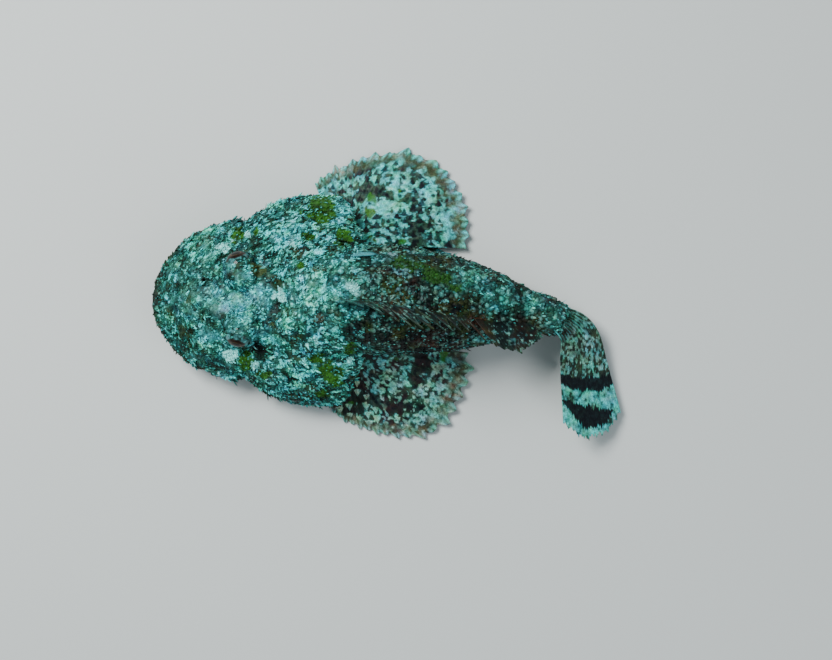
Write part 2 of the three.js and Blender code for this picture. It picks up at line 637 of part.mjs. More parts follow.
// Thorns of the gill cover: s, z, length, radius; and its skin flaps: s, z
const COVER_THORNS = [
  [100, 36, 5, 1.7], [103, 31, 4, 1.5], [68, 30, 4, 1.8], [67, 22, 3.5, 1.7], [66, 14, 3, 1.6],
];
const COVER_FLAPS = [[60, 12], [76, 9], [88, 12], [98, 22]];
function coverPoint(side, s, z) {
  const part = (z - gillLowEdge(s)) / (gillHighEdge(s) - gillLowEdge(s));
  return sided(side, s, sideAt(s, z) + 0.9 + gillBulge(s) * (1 - clamp(part, 0, 1) ** 1.6), z);
}
function finishedCover(side) {
  const spikes = COVER_THORNS.map(([s, z, length, radius]) => {
    const direction = outward(coverPoint, side, s, z).addScaledVector(BACKWARD, 1.6);
    return thorn(coverPoint(side, s, z), direction, length, radius);
  });
  const flaps = COVER_FLAPS.map(([s, z]) =>
    skinFlap(coverPoint(side, s, z), outward(coverPoint, side, s, z), 4.2, 2, 0.8));
  return joined(largestBody(gillCover(side).subtract(bodyGrown)), [...spikes, ...flaps]).subtract(bodyGrown);
}

// Skin flaps in rows down the flanks: s, height as a share of the body's
const FLANK_ROWS = [
  [120, 0.62], [133, 0.36], [146, 0.6], [158, 0.36], [170, 0.6], [184, 0.45], [196, 0.6], [206, 0.4],
];
function flankRow(from, to) {
  const rows = FLANK_ROWS.filter(([s]) => s > from && s < to);
  return SIDES.flatMap(([, side]) => rows.map(([s, share]) => {
    const z = lerp(bellyHeight(s), backHeight(s), share);
    const length = 3.4 + 1.4 * seededRandom(s * 2 + side);
    return skinFlap(flankPoint(side, s, z), outward(flankPoint, side, s, z), length, 1.7, 0.9);
  }));
}

// Colours of the dry, painted model
const skinPaint = (colour) => new THREE.MeshStandardMaterial({ color: colour, roughness: 0.6, metalness: 0 });
const skinMaterial = skinPaint(0x57776f);
const paleMaterial = skinPaint(0x8fb3aa);
const finMaterial = skinPaint(0x7b9892);
const eyeMaterial = new THREE.MeshStandardMaterial({ color: 0x5a3a20, roughness: 0.15, metalness: 0 });

const fish = new THREE.Group();
function addPart(name, solid, material) {
  const mesh = new THREE.Mesh(geometryOf(solid), material);
  mesh.name = name;
  fish.add(mesh);
}
const clearOfBody = (solid) => [bodyGrown, ...coversGrown].reduce((left, other) => left.subtract(other), solid);

addPart('head', head, skinMaterial);
addPart('lower_jaw', lowerJaw, skinMaterial);
addPart('trunk_front', joined(lengths[0], flankRow(HEAD_END, TRUNK_MIDDLE)), skinMaterial);
addPart('trunk_rear', joined(lengths[1], flankRow(TRUNK_MIDDLE, TRUNK_END)), skinMaterial);
addPart('tail_stalk', joined(lengths[2], flankRow(TRUNK_END, STANDARD_LENGTH)), skinMaterial);
addPart('dorsal_fin_spiny', clearOfBody(dorsalSpiny), finMaterial);
addPart('dorsal_fin_soft', clearOfBody(dorsalSoft), finMaterial);
addPart('anal_fin', clearOfBody(analFin), finMaterial);
addPart('tail_fin', clearOfBody(tailFin), finMaterial);
for (const [name, side] of SIDES) {
  addPart(`eye_${name}`, eyeball(side), eyeMaterial);
  addPart(`gill_cover_${name}`, finishedCover(side), skinMaterial);
  addPart(`pectoral_fin_${name}`, clearOfBody(pectoral(side, side > 0 ? RIGHT_FAN : LEFT_FAN)), paleMaterial);
  addPart(`pelvic_fin_${name}`, clearOfBody(pelvic(side)), paleMaterial);
}

export default fish;
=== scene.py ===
"""The looks of the scorpionfish: one skin, its fins, eyes, scales and skin flaps, on a pale floor."""

import math
from functools import partial
from itertools import product

import bmesh
import bpy
import numpy as np
from mathutils import Matrix, Vector
from mathutils.kdtree import KDTree


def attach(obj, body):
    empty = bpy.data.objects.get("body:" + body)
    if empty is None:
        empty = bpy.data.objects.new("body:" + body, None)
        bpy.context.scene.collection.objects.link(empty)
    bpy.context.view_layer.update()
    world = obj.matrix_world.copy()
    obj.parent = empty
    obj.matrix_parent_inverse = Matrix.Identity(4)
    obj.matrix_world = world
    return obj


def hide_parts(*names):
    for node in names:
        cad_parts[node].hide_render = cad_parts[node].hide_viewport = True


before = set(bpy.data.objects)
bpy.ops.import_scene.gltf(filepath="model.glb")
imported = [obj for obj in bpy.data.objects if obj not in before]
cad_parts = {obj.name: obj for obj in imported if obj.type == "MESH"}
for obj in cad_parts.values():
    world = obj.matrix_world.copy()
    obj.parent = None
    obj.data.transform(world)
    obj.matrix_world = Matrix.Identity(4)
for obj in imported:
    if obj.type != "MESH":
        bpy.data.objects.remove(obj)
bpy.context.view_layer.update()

MM = 0.001
TAU = 2 * math.pi
SIDES = {"right": 1, "left": -1}
rng = np.random.default_rng(11)

# The body, in the same terms as the part's own source, in millimetres
STANDARD_LENGTH = 220.0
BELLY_REST = 100.0
NOSE_LENGTH = 24.0
SPINE_REACH = 300
SPINE_SEARCH = 290.0  # places are looked for this far along the spine
EYE_RADIUS = 8.0
EYE_AT = (48.4, 17.4, 46.2)
EYE_LOOK = np.array([-0.22, 0.86, 0.46]) / np.linalg.norm([-0.22, 0.86, 0.46])
EYE_DOME_RADIUS = 10.2
EYE_DOME_INSET = 3.4
MOUTH_TIP_HEIGHT = 20.0
MOUTH_CORNER = (47.0, 12.0)
NOSTRIL = (29.5, 10.0)
ROOT_SINK = 3.0
PECTORAL_RAYS = 19
PECTORAL_CENTRE = (104.0, 35.0)
PECTORAL_ROOT_S = (101.0, 107.0)
PECTORAL_ROOT_Z = (6.0, 26.5)
PELVIC_RAYS = 6
PELVIC_ROOT_S = (106.0, 110.0)
PELVIC_ROOT_Y = (14.0, 8.0)
PELVIC_ROOT_Z = 4.4
DORSAL_SPINES = 12
DORSAL_RAYS = 10
SPINY_ROOT_S = (95.0, 165.0)
SOFT_ROOT_S = (171.0, 202.0)
ANAL_RAYS = 8
ANAL_ROOT_S = (147.0, 172.0)
TAIL_RAYS = 13
TAIL_ROOT = 216.5
TAIL_ROOT_HALF = 9.6
TAIL_TIP_HALF = 20.0
TAIL_FIN_LENGTH = 70.0
TAIL_ROUNDING = 0.16
COVER_SPAN = (50.0, 112.0)
COVER_LIFT = 0.9

# The skin and its coat
SKIN_INSET = 0.35  # the skin lies this far inside the solids, under its coat
SKIN_VOXEL = 0.5
SCALE_STEP = 2.7
FLAKE_SIZE = 1.9
FLAKE_SHADOW = np.array([-0.8, 0.7, 0.3])  # from a flake's painted shadow to the flake
PATCH_HALF = 0.0015  # half the size of a small shape's patch on the coat's unwrap
NOISE_SHIFT = 1000.0  # keeps the noise's lattice clear of negative numbers


def smoothstep(value, low, high):
    part = np.clip((value - low) / (high - low), 0, 1)
    return part * part * (3 - 2 * part)


def lerp(low, high, part):
    return low + (high - low) * part


def mound(distance, width):
    return np.exp(-((distance / width) ** 2))


def unit(vectors):
    """The same directions, each with length 1."""
    return vectors / np.maximum(np.linalg.norm(vectors, axis=-1, keepdims=True), 1e-9)


def profile(stations):
    """A smooth curve through a few stations (where, value) that never overshoots them."""
    x, y = np.array(stations, float).T
    slope = np.diff(y) / np.diff(x)
    before, after = slope[:-1], slope[1:]
    turns = before * after <= 0
    inner = np.where(turns, 0, 2 * before * after / np.where(turns, 1, before + after))
    tangent = np.concatenate([slope[:1], inner, slope[-1:]])

    def value(at):
        at = np.clip(np.asarray(at, float), x[0], x[-1])
        i = np.clip(np.searchsorted(x, at, side="right") - 1, 0, len(x) - 2)
        span = x[i + 1] - x[i]
        f = (at - x[i]) / span
        bend = f * f * (3 - 2 * f)
        leave = f * (1 - f) ** 2 * span * tangent[i]
        arrive = f * f * (f - 1) * span * tangent[i + 1]
        return lerp(y[i], y[i + 1], bend) + leave + arrive

    return value


back_height = profile([
    (0, 27), (14, 34), (30, 42), (48, 48), (70, 55), (92, 63), (116, 67), (150, 59), (180, 43), (200, 34),
    (220, 31),
])
belly_height = profile([
    (0, 4), (14, 0.5), (24, -0.8), (102, -0.8), (112, 3.2), (150, 4.2), (178, 9), (200, 12.5), (220, 10.5),
])
half_width = profile([
    (0, 27), (24, 36), (46, 42), (64, 43), (80, 40), (92, 36), (104, 31.5), (112, 29),
    (132, 28.6), (145, 27), (159, 25), (186, 18.5), (205, 11.5), (220, 8),
])
widest_height = profile([(0, 20), (20, 16), (60, 16), (92, 22), (116, 29), (150, 29), (180, 26), (220, 20.5)])
upper_fullness = profile([(0, 1.9), (40, 1.75), (92, 1.85), (130, 2), (220, 2)])
lower_fullness = profile([(0, 2.2), (24, 3.2), (100, 3.2), (150, 2.4), (220, 2)])
gill_bulge = profile([
    (50, 0.6), (56, 5), (64, 9.8), (80, 17.6), (92, 21.8), (100, 22.6), (105, 18.5), (112, 5.6),
])
gill_low_edge = profile([(50, 9), (60, 5), (84, 5), (92, 8.5), (97, 13.5), (105, 23), (112, 32)])
gill_high_edge = profile([(50, 34), (64, 40), (90, 44), (104, 41), (112, 38)])
gill_thickness = profile([(50, 40), (88, 40), (94, 3.2), (112, 2.4)])


def heading(s):
    turns = 6 * smoothstep(s, 105, 170) + 16 * smoothstep(s, 200, 222) + 60 * smoothstep(s, 218, 242)
    return -np.radians(turns)


def roll(s):
    tilts = 9 * smoothstep(s, 110, 150) + 22 * smoothstep(s, 150, 205) + 27 * smoothstep(s, 205, 236)
    return np.radians(tilts)


def roll_height(s):
    return (back_height(s) + belly_height(s)) / 2 - 5.5 * smoothstep(s, STANDARD_LENGTH, 266)


spine_turn = heading(np.arange(SPINE_REACH) + 0.5)
spine = np.zeros((SPINE_REACH + 1, 2))
spine[0, 0] = -BELLY_REST
spine[1:, 0] = -BELLY_REST + np.cumsum(np.cos(spine_turn))
spine[1:, 1] = np.cumsum(np.sin(spine_turn))


def spine_point(s):
    step = np.arange(SPINE_REACH + 1)
    return np.interp(s, step, spine[:, 0]), np.interp(s, step, spine[:, 1])


def place(s, y, z, rolled=True):
    """Points beside the spine: s along it, y to the fish's right, z above the floor."""
    s, y, z = np.broadcast_arrays(*(np.asarray(v, float) for v in (s, y, z)))
    if rolled:
        tilt, centre = roll(s), roll_height(s)
        rise = z - centre
        y, z = y * np.cos(tilt) - rise * np.sin(tilt), centre + y * np.sin(tilt) + rise * np.cos(tilt)
    turn = heading(s)
    x0, y0 = spine_point(s)
    return np.stack([x0 - np.sin(turn) * y, y0 + np.cos(turn) * y, z], -1)


def seen_from(points, s):
    """How far points are ahead of places on the spine, and how far to their right."""
    x0, y0 = spine_point(s)
    turn = heading(s)
    x, y = points[:, 0] - x0, points[:, 1] - y0
    return x * np.cos(turn) + y * np.sin(turn), y * np.cos(turn) - x * np.sin(turn)


def unplace(points):
    """The body's own (s, y, z) of points, the opposite of place."""
    best = np.full(len(points), np.inf)
    s = np.zeros(len(points))
    for step in np.arange(0, SPINE_SEARCH, 3.0):
        x0, y0 = spine_point(step)
        distance = (points[:, 0] - x0) ** 2 + (points[:, 1] - y0) ** 2
        nearer = distance < best
        best[nearer] = distance[nearer]
        s[nearer] = step
    for _ in range(3):
        s = np.clip(s + seen_from(points, s)[0], -2, SPINE_SEARCH)
    across = seen_from(points, s)[1]
    s = np.where(s <= 0, points[:, 0] + BELLY_REST, s)
    tilt, centre = roll(s), roll_height(s)
    rise = points[:, 2] - centre
    y = across * np.cos(tilt) + rise * np.sin(tilt)
    return s, y, centre - across * np.sin(tilt) + rise * np.cos(tilt)


def relief(s, y):
    off = np.abs(y)
    snout_hump = 3 * mound(s - 21, 9) * mound(off, 8)
    brow_trough = -5 * mound(s - 50, 11) * mound(off, 7.5)
    nape_pit = -3.5 * mound(s - 68, 4.5) * mound(off, 9)
    nape_ridge = 2.4 * mound(s - 76, 10) * mound(off - 13, 4)
    cheek_ridge = 1.8 * mound(s - 48, 15) * mound(off - 33, 4)
    cheek_hollow = -2.2 * mound(s - 42, 12) * mound(off - 26, 4.5)
    return snout_hump + brow_trough + nape_pit + nape_ridge + cheek_ridge + cheek_hollow


def section_at(s, grow):
    opened = np.sqrt(np.maximum(0, 1 - (1 - np.minimum(s / NOSE_LENGTH, 1)) ** 2))
    middle = widest_height(s)
    half = half_width(s) * opened + grow
    top = middle + (back_height(s) - middle) * opened + grow
    bottom = middle - (middle - belly_height(s)) * opened - grow
    return middle, half, top, bottom


def section_point(s, angle, grow=0.0):
    middle, half, top, bottom = section_at(s, grow)
    across, up = np.sin(angle), np.cos(angle)
    power = 2 / np.where(up > 0, upper_fullness(s), lower_fullness(s))
    y = half * np.sign(across) * np.abs(across) ** power
    rise = np.abs(up) ** power
    above = lerp(middle, top, rise) + relief(s, y) * up
    below = np.maximum(lerp(middle, bottom, rise), -grow)
    return y, np.where(up > 0, above, below)


def side_at(s, z):
    middle, half, top, bottom = section_at(s, 0)
    above = z > middle
    reach = np.where(above, top - middle, middle - bottom)
    power = np.where(above, upper_fullness(s), lower_fullness(s))
    part = np.minimum(np.abs(z - middle) / np.maximum(reach, 1e-6), 1)
    return half * (1 - part**power) ** (1 / power)


def roof_at(s, y):
    middle, half, top, _ = section_at(s, 0)
    part = np.minimum(np.abs(y) / np.maximum(half, 1e-6), 1)
    rise = (1 - part ** upper_fullness(s)) ** (1 / upper_fullness(s))
    return lerp(middle, top, rise) + relief(s, y) * rise


def mouth_height(s):
    return lerp(MOUTH_TIP_HEIGHT, MOUTH_CORNER[1], np.clip(s / MOUTH_CORNER[0], -0.1, 1.3))


# Noise, the same each run


def lattice(i, j, k, seed):
    """A random number from 0 to 1 for each point of a whole-number lattice."""
    mixed = (
        i.astype(np.uint32) * np.uint32(73856093)
        ^ j.astype(np.uint32) * np.uint32(19349663)
        ^ k.astype(np.uint32) * np.uint32(83492791)
        ^ np.uint32(seed * 2654435761 % 2**32)
    )
    mixed = (mixed ^ (mixed >> np.uint32(13))) * np.uint32(1274126177)
    mixed = (mixed ^ (mixed >> np.uint32(16))) * np.uint32(2246822519)
    return ((mixed ^ (mixed >> np.uint32(15))) & np.uint32(0xFFFFFF)).astype(float) / 0xFFFFFF


def soft_noise(points, size, seed):
    """Smooth noise from -1 to 1 with features of a size."""
    q = points / size + NOISE_SHIFT
    base = np.floor(q).astype(np.int64)
    f = q - base
    f = f * f * (3 - 2 * f)
    total = np.zeros(len(points))
    for corner in product((0, 1), repeat=3):
        near = np.where(corner, f, 1 - f)
        total += near[:, 0] * near[:, 1] * near[:, 2] * lattice(*(base + corner).T, seed)
    return total * 2 - 1


def rough_noise(points, size, seed, octaves=3):
    total = np.zeros(len(points))
    strength = 1.0
    for octave in range(octaves):
        total += strength * soft_noise(points, size / 2**octave, seed + octave)
        strength *= 0.55
    return total


def cells(points, size, seed):
    """Distance to the nearest scattered point, in cell sizes, and that point's random number."""
    q = points / size + NOISE_SHIFT
    base = np.floor(q).astype(np.int64)
    nearest = np.full(len(points), 9.0)
    mark = np.zeros(len(points))
    for offset in product((-1, 0, 1), repeat=3):
        cell = base + offset
        centre = cell + np.stack([lattice(*cell.T, seed + axis) for axis in range(3)], -1)
        distance = np.linalg.norm(q - centre, axis=-1)
        nearer = distance < nearest
        nearest[nearer] = distance[nearer]
        mark[nearer] = lattice(*cell.T, seed + 3)[nearer]
    return nearest, mark


# Meshes


def add_object(name, data):
    thing = bpy.data.objects.new(name, data)
    bpy.context.scene.collection.objects.link(thing)
    return thing


def new_object(name, points, *groups):
    """A mesh from points in millimetres and groups of faces that have equally many corners."""
    groups = [np.asarray(group, np.int32) for group in groups]
    corners = np.concatenate([np.full(len(group), group.shape[1], np.int32) for group in groups])
    mesh = bpy.data.meshes.new(name)
    mesh.vertices.add(len(points))
    mesh.loops.add(int(corners.sum()))
    mesh.polygons.add(len(corners))
    mesh.vertices.foreach_set("co", (np.asarray(points) * MM).astype(np.float32).ravel())
    mesh.loops.foreach_set("vertex_index", np.concatenate([group.ravel() for group in groups]))
    mesh.polygons.foreach_set("loop_start", (np.cumsum(corners) - corners).astype(np.int32))
    mesh.polygons.foreach_set("use_smooth", np.full(len(corners), True))
    mesh.update(calc_edges=True)
    return add_object(name, mesh)


def tube_faces(rings, around):
    """Quads between the rings of a tube. Those at the end of the list join its last ring to its first."""
    step = np.arange(around)
    a = np.arange(rings)[:, None] * around + step
    b = np.arange(rings)[:, None] * around + (step + 1) % around
    return np.stack([a, b, b + around, a + around], -1).reshape(-1, 4) % (rings * around)


def capped_tube(name, rings):
    """A closed tube through rings of points, an array rings x around x 3."""
    count, around = rings.shape[:2]
    points = np.concatenate([rings.reshape(-1, 3), rings[:1].mean(1), rings[-1:].mean(1)])
    first, last = count * around, count * around + 1
    i = np.arange(around)
    j = (i + 1) % around
    low = np.stack([0 * i + first, j, i], -1)
    high = np.stack([0 * i + last, i + first - around, j + first - around], -1)
    sides = tube_faces(count, around)[:-around]
    thing = new_object(name, points, sides, np.stack([low, high], 1).reshape(-1, 3))
    outwards(thing)
    return thing


def outwards(thing):
    work = bmesh.new()
    work.from_mesh(thing.data)
    bmesh.ops.recalc_face_normals(work, faces=work.faces)
    work.to_mesh(thing.data)
    work.free()


def ball(name, centre, direction, sizes, fine=48):
    """A stretched ball whose own Z points along a direction."""
    mesh = bpy.data.meshes.new(name)
    work = bmesh.new()
    turn = Vector(direction).to_track_quat("Z", "Y").to_matrix().to_4x4()
    sized = Matrix.Diagonal((*[size * MM for size in sizes], 1))
    moved = Matrix.Translation(Vector(centre) * MM) @ turn @ sized
    bmesh.ops.create_uvsphere(work, u_segments=fine, v_segments=fine // 2, radius=1, matrix=moved)
    work.to_mesh(mesh)
    work.free()
    return add_object(name, mesh)


def ring_tube(name, centre, direction, radius, thickness, rings=64, around=16):
    """A ring round a direction."""
    turn = np.array(Vector(direction).to_track_quat("Z", "Y").to_matrix())
    swing = np.linspace(0, TAU, rings, endpoint=False)[:, None]
    swirl = np.linspace(0, TAU, around, endpoint=False)
    reach = radius + thickness * np.cos(swirl)
    rise = thickness * np.sin(swirl) + 0 * swing
    local = np.stack([reach * np.cos(swing), reach * np.sin(swing), rise], -1)
    points = local.reshape(-1, 3) @ turn.T + np.asarray(centre)
    return new_object(name, points, tube_faces(rings, around)[:, [0, 3, 2, 1]])


def path_tube(name, path, radius, around=14):
    """A closed tube along a path of points, with a radius for each."""
    along = unit(np.gradient(path, axis=0))
    level = unit(np.cross(along, [0, 0, 1.0]))
    up = np.cross(level, along)
    angle = np.linspace(0, TAU, around, endpoint=False)[:, None]
    radius = np.broadcast_to(radius, len(path))[:, None, None]
    outward = np.cos(angle) * level[:, None] + np.sin(angle) * up[:, None]
    return capped_tube(name, path[:, None] + radius * outward)


def read_vectors(store, name):
    """Three numbers for each item of a mesh's list."""
    flat = np.empty(len(store) * 3, np.float32)
    store.foreach_get(name, flat)
    return flat.reshape(-1, 3).astype(float)


def points_of(thing):
    return read_vectors(thing.data.vertices, "co") / MM


def normals_of(thing):
    return read_vectors(thing.data.vertex_normals, "vector")


def move_points(thing, points):
    thing.data.vertices.foreach_set("co", (np.asarray(points) * MM).astype(np.float32).ravel())
    thing.data.update()


def paint(thing, colours):
    """Stores a linear colour for each point of a mesh."""
    stores = thing.data.color_attributes
    attribute = stores.get("paint") or stores.new("paint", "FLOAT_COLOR", "POINT")
    packed = np.ones((len(colours), 4), np.float32)
    packed[:, :3] = np.clip(colours, 0, 1)
    attribute.data.foreach_set("color", packed.ravel())


def apply_modifier(thing, kind, **settings):
    modifier = thing.modifiers.new(kind.lower(), kind)
    for name, value in settings.items():
        setattr(modifier, name, value)
    bpy.context.view_layer.objects.active = thing
    with bpy.context.temp_override(object=thing, active_object=thing, selected_objects=[thing]):
        bpy.ops.object.modifier_apply(modifier=modifier.name)


def join(things):
    with bpy.context.temp_override(
        object=things[0], active_object=things[0], selected_objects=things, selected_editable_objects=things
    ):
        bpy.ops.object.join()
    return things[0]


# The camera looks straight down, at the photograph's framing
IMAGE = (832, 660)
PIXEL = 0.54  # millimetres to a pixel at the height of the fish's widest part
FRAMING_HEIGHT = 20.0
CAMERA_HEIGHT = 920.0
SENSOR = 36.0
SNOUT_PIXEL = (155, 300)
FLOOR_HALF = 3000.0
LIT_PLACE = Vector((0.03, 0, 0.02))  # in metres


def look_down():
    camera = add_object("camera", bpy.data.cameras.new("camera"))
    right = (IMAGE[0] / 2 - SNOUT_PIXEL[0]) * PIXEL - BELLY_REST
    up = (SNOUT_PIXEL[1] - IMAGE[1] / 2) * PIXEL
    camera.location = Vector((right, up, CAMERA_HEIGHT)) * MM
    camera.data.sensor_width = SENSOR
    camera.data.lens = SENSOR * (CAMERA_HEIGHT - FRAMING_HEIGHT) / (IMAGE[0] * PIXEL)
    camera.data.clip_start = 0.01
    bpy.context.scene.camera = camera


def add_light(name, location, size, power, colour):
    """A soft lamp at a place in metres, turned to the fish."""
    light = add_object(name, bpy.data.lights.new(name, "AREA"))
    light.data.size = size
    light.data.energy = power
    light.data.color = colour
    light.location = location
    light.rotation_euler = (LIT_PLACE - Vector(location)).to_track_quat("-Z", "Y").to_euler()


def new_material(name):
    material = bpy.data.materials.new(name)
    material.use_nodes = True
    return material, material.node_tree.nodes["Principled BSDF"]


def add_studio():
    material, shader = new_material("floor")
    shader.inputs["Base Color"].default_value = (0.62, 0.66, 0.66, 1)
    shader.inputs["Roughness"].default_value = 0.9
    corners = FLOOR_HALF * np.array([(-1, -1, 0), (1, -1, 0), (1, 1, 0), (-1, 1, 0)])
    floor = new_object("floor", corners, [(0, 1, 2, 3)])
    floor.data.materials.append(material)
    add_light("key", (-0.45, 0.4, 0.95), 0.45, 17, (1.0, 1.0, 0.97))
    add_light("fill", (0.75, -0.55, 0.7), 0.8, 3.5, (0.9, 0.97, 1.0))
    world = bpy.data.worlds.new("studio")
    bpy.context.scene.world = world
    world.use_nodes = True
    sky = world.node_tree.nodes["Background"]
    sky.inputs["Color"].default_value = (0.85, 0.95, 1.0, 1)
    sky.inputs["Strength"].default_value = 0.34


look_down()
add_studio()

# Colours, as linear red, green and blue


def linear(red, green, blue):
    """A colour given as it looks on a screen, from 0 to 255."""
    parts = np.array([red, green, blue]) / 255
    return np.where(parts <= 0.04045, parts / 12.92, ((parts + 0.055) / 1.055) ** 2.4)


INK = linear(7, 18, 20)
DEEP = linear(20, 50, 42)
TEAL = linear(38, 96, 88)
HAZE = linear(72, 166, 157)
MINT = linear(96, 234, 228)
CHALK = linear(160, 252, 248)
LEAF = linear(50, 108, 34)
MOSS = linear(38, 88, 30)
OLIVE = linear(60, 74, 32)
EARTH = linear(84, 46, 28)
ROSE = linear(98, 164, 172)
MAROON = linear(52, 28, 36)
NAVY = linear(5, 13, 22)
TAN = linear(100, 122, 104)
UMBER = linear(64, 74, 52)
PEARL = linear(128, 192, 180)
CREAM = linear(172, 222, 198)
TONES = ((0.0, INK), (0.3, DEEP), (0.6, TEAL), (0.9, HAZE), (1.15, MINT))

# Places on the body that are greener, browner, paler or darker than the rest, and places of painted shade:
# s, y, size along, size across, strength
GREEN_PATCHES = [
    (45.2, 33.5, 4, 6, 1.0), (57, 36, 2, 3, 0.8), (90, 48, 10, 10, 1.0), (102, 32.5, 5, 6.6, 1.0),
    (83, 34, 4.4, 2.6, 0.8), (50.5, -32.5, 5, 5.4, 1.0), (59, -40.5, 4.6, 3, 0.8), (96, -40, 6.6, 7, 1.0),
    (88.5, -32, 5, 3.6, 0.9), (91, -50, 5, 3, 0.8), (107, -24.5, 4, 3.6, 1.0), (136, 20.5, 10, 3.6, 0.8),
    (150, 17, 9, 3.6, 0.84), (160, 13, 5, 2.8, 0.7), (147, -9, 9, 2.6, 0.6), (80, 17, 2.4, 1.6, 0.7),
]
BROWN_PATCHES = [
    (59, 15, 4, 4, 0.9), (90, -10.5, 4, 2.4, 0.8), (90.5, 15, 4, 2, 0.8), (174, -2, 7, 5, 0.7),
    (128, -3, 12, 6, 0.5), (150, -20, 7, 4, 0.5), (66, -14, 6, 4, 0.5), (20, 0, 3, 4, 0.4),
]
CHALK_PATCHES = [
    (38.4, 27.2, 3.6, 3.8, 1.0), (51, 34.5, 2.6, 3, 0.8), (42, -29, 5, 3.8, 1.0),
    (55.8, -34.7, 2.8, 2.6, 0.9), (71.5, 1, 5, 4.6, 0.8), (109, 4, 3.4, 5, 0.7), (86, -22, 5, 4, 0.5),
    (74, 28, 4, 3, 0.46), (106, -31, 3, 3, 0.7),
]
# dark marks of the skin, and painted shade along the head's lower rim: the patches at (30, -36), (52, -44),
# (72, -42) and (76, -51)
DARK_AND_SHADE_PATCHES = [
    (58, 29.5, 4.4, 3.8, 1.0), (58, -26.5, 4.6, 4.4, 1.0), (68.5, 8.5, 3.6, 4.2, 1.0),
    (68.8, -6.5, 2.8, 6.4, 0.9), (112, -18, 8, 5, 1.0), (161, 3, 14, 5, 0.9), (138, -20, 18, 6, 0.8),
    (72, -42, 5, 3, 0.7), (64, 22, 4, 3, 0.6), (110, 30, 4, 3, 0.8), (77, -21, 9, 2.6, 0.5),
    (76, -51, 26, 6, 0.6), (84, 40, 5, 3, 0.6), (21, -16, 4.4, 4, 0.5), (30, -36, 12, 4, 0.4),
    (52, -44, 8, 4, 0.5), (112, 24, 10, 4, 0.4),
]
PALE_PATCHES = [
    (166, 16, 12, 8, 0.9), (184, 11, 12, 8, 1.0), (200, 9, 12, 7, 0.9), (184, -12, 12, 4, 0.6),
    (50, 0, 12, 11, 1.0), (27, 23, 9, 7, 1.0), (17, -1, 4, 6, 0.6), (36, -11, 4, 3.4, 0.6),
    (36, -24, 7, 6, 0.9), (70, -32, 9, 6, 0.3), (86, 3, 12, 11, 0.8), (74, -14, 5, 4, 0.5),
    (94, 20, 5, 4, 0.7), (106, 3, 9, 12, 0.6), (128, 20, 16, 5, 0.4), (34, 26, 5, 4, 0.6),
    (62, 26, 5, 4, 0.5), (85, -10, 5, 4, 0.5), (57, -4, 4, 4, 0.4), (215, 2, 8, 8, 0.9),
    (110, -5, 6, 5, 0.8),
]
# The same for the fins, placed by X and Y
FIN_PALE_PATCHES = [
    (18.6, 54.8, 9, 7, 0.55), (32, 60, 8, 7, 0.7), (24, 35.7, 8, 6, 0.7), (38, -45, 9, 7, 1.0),
    (13, -61, 8, 6, 0.9), (58, -24.5, 6, 4, 0.8),
]
FIN_DARK_PATCHES = [
    (0.5, 49, 6, 5, 1.0), (37.7, 46.6, 6, 6, 1.0), (10.4, 71, 8, 5, 0.8), (35, -57, 9, 5, 1.2),
    (47.5, -31.5, 6, 5, 1.2),
]

# How pale the skin is along the body, from 0 for black to 1 for pale mint
head_to_tail = profile([
    (0, 0.4), (14, 0.5), (40, 0.52), (70, 0.57), (98, 0.53), (116, 0.38), (134, 0.14), (160, 0.12),
    (220, 0.2),
])


def patches(s, y, places):
    total = np.zeros(len(s))
    for at_s, at_y, long, wide, strength in places:
        spot = strength * np.exp(-(((s - at_s) / long) ** 2 + ((y - at_y) / wide) ** 2) ** 1.6)
        total = np.maximum(total, spot)
    return total


def crisp_patches(points, s, y, places, seed, ragged):
    """The same with a ragged edge."""
    return smoothstep(patches(s, y, places) + ragged * rough_noise(points, 2.6, seed, 3), 0.4, 0.56)


def blend(base, colour, amount):
    amount = np.clip(np.broadcast_to(amount, len(base)), 0, 1)[:, None]
    return base * (1 - amount) + np.asarray(colour) * amount


def ramp(tone, stops):
    """Colours for a tone, between stops of (tone, colour)."""
    places = [stop[0] for stop in stops]
    return np.stack([np.interp(tone, places, [stop[1][c] for stop in stops]) for c in range(3)], -1)


def flecks(points, size, seed, crowd, sharp=0.2):
    """Strength of small round scattered spots, of which a share called crowd is there."""
    distance, mark = cells(points, size, seed)
    return smoothstep(0.5 - distance, 0, sharp) * (mark < crowd) * (0.5 + 0.5 * second_draw(mark))


def flakes(points, size, seed, share):
    """Strength of crisp irregular flakes that cover about a given share of the surface."""
    share = np.clip(share, 0.005, 0.995)
    height = rough_noise(points, size, seed, 2) - 0.27 * np.log((1 - share) / share)
    return smoothstep(height, -0.05, 0.12)


def second_draw(mark):
    """Another random number from one already drawn."""
    return (mark * 7919.0) % 1.0


def stained(points, colour, seed):
    """The same colour, warmer in some places and bluer in others."""
    warm = rough_noise(points, 3.6, seed, 2) + 0.6 * soft_noise(points, 1.2, seed + 3)
    cool = rough_noise(points, 4.6, seed + 5, 2) + 0.6 * soft_noise(points, 1.3, seed + 8)
    return colour * np.exp(np.stack([0.5 * warm, 0 * warm, 0.25 * cool], -1))


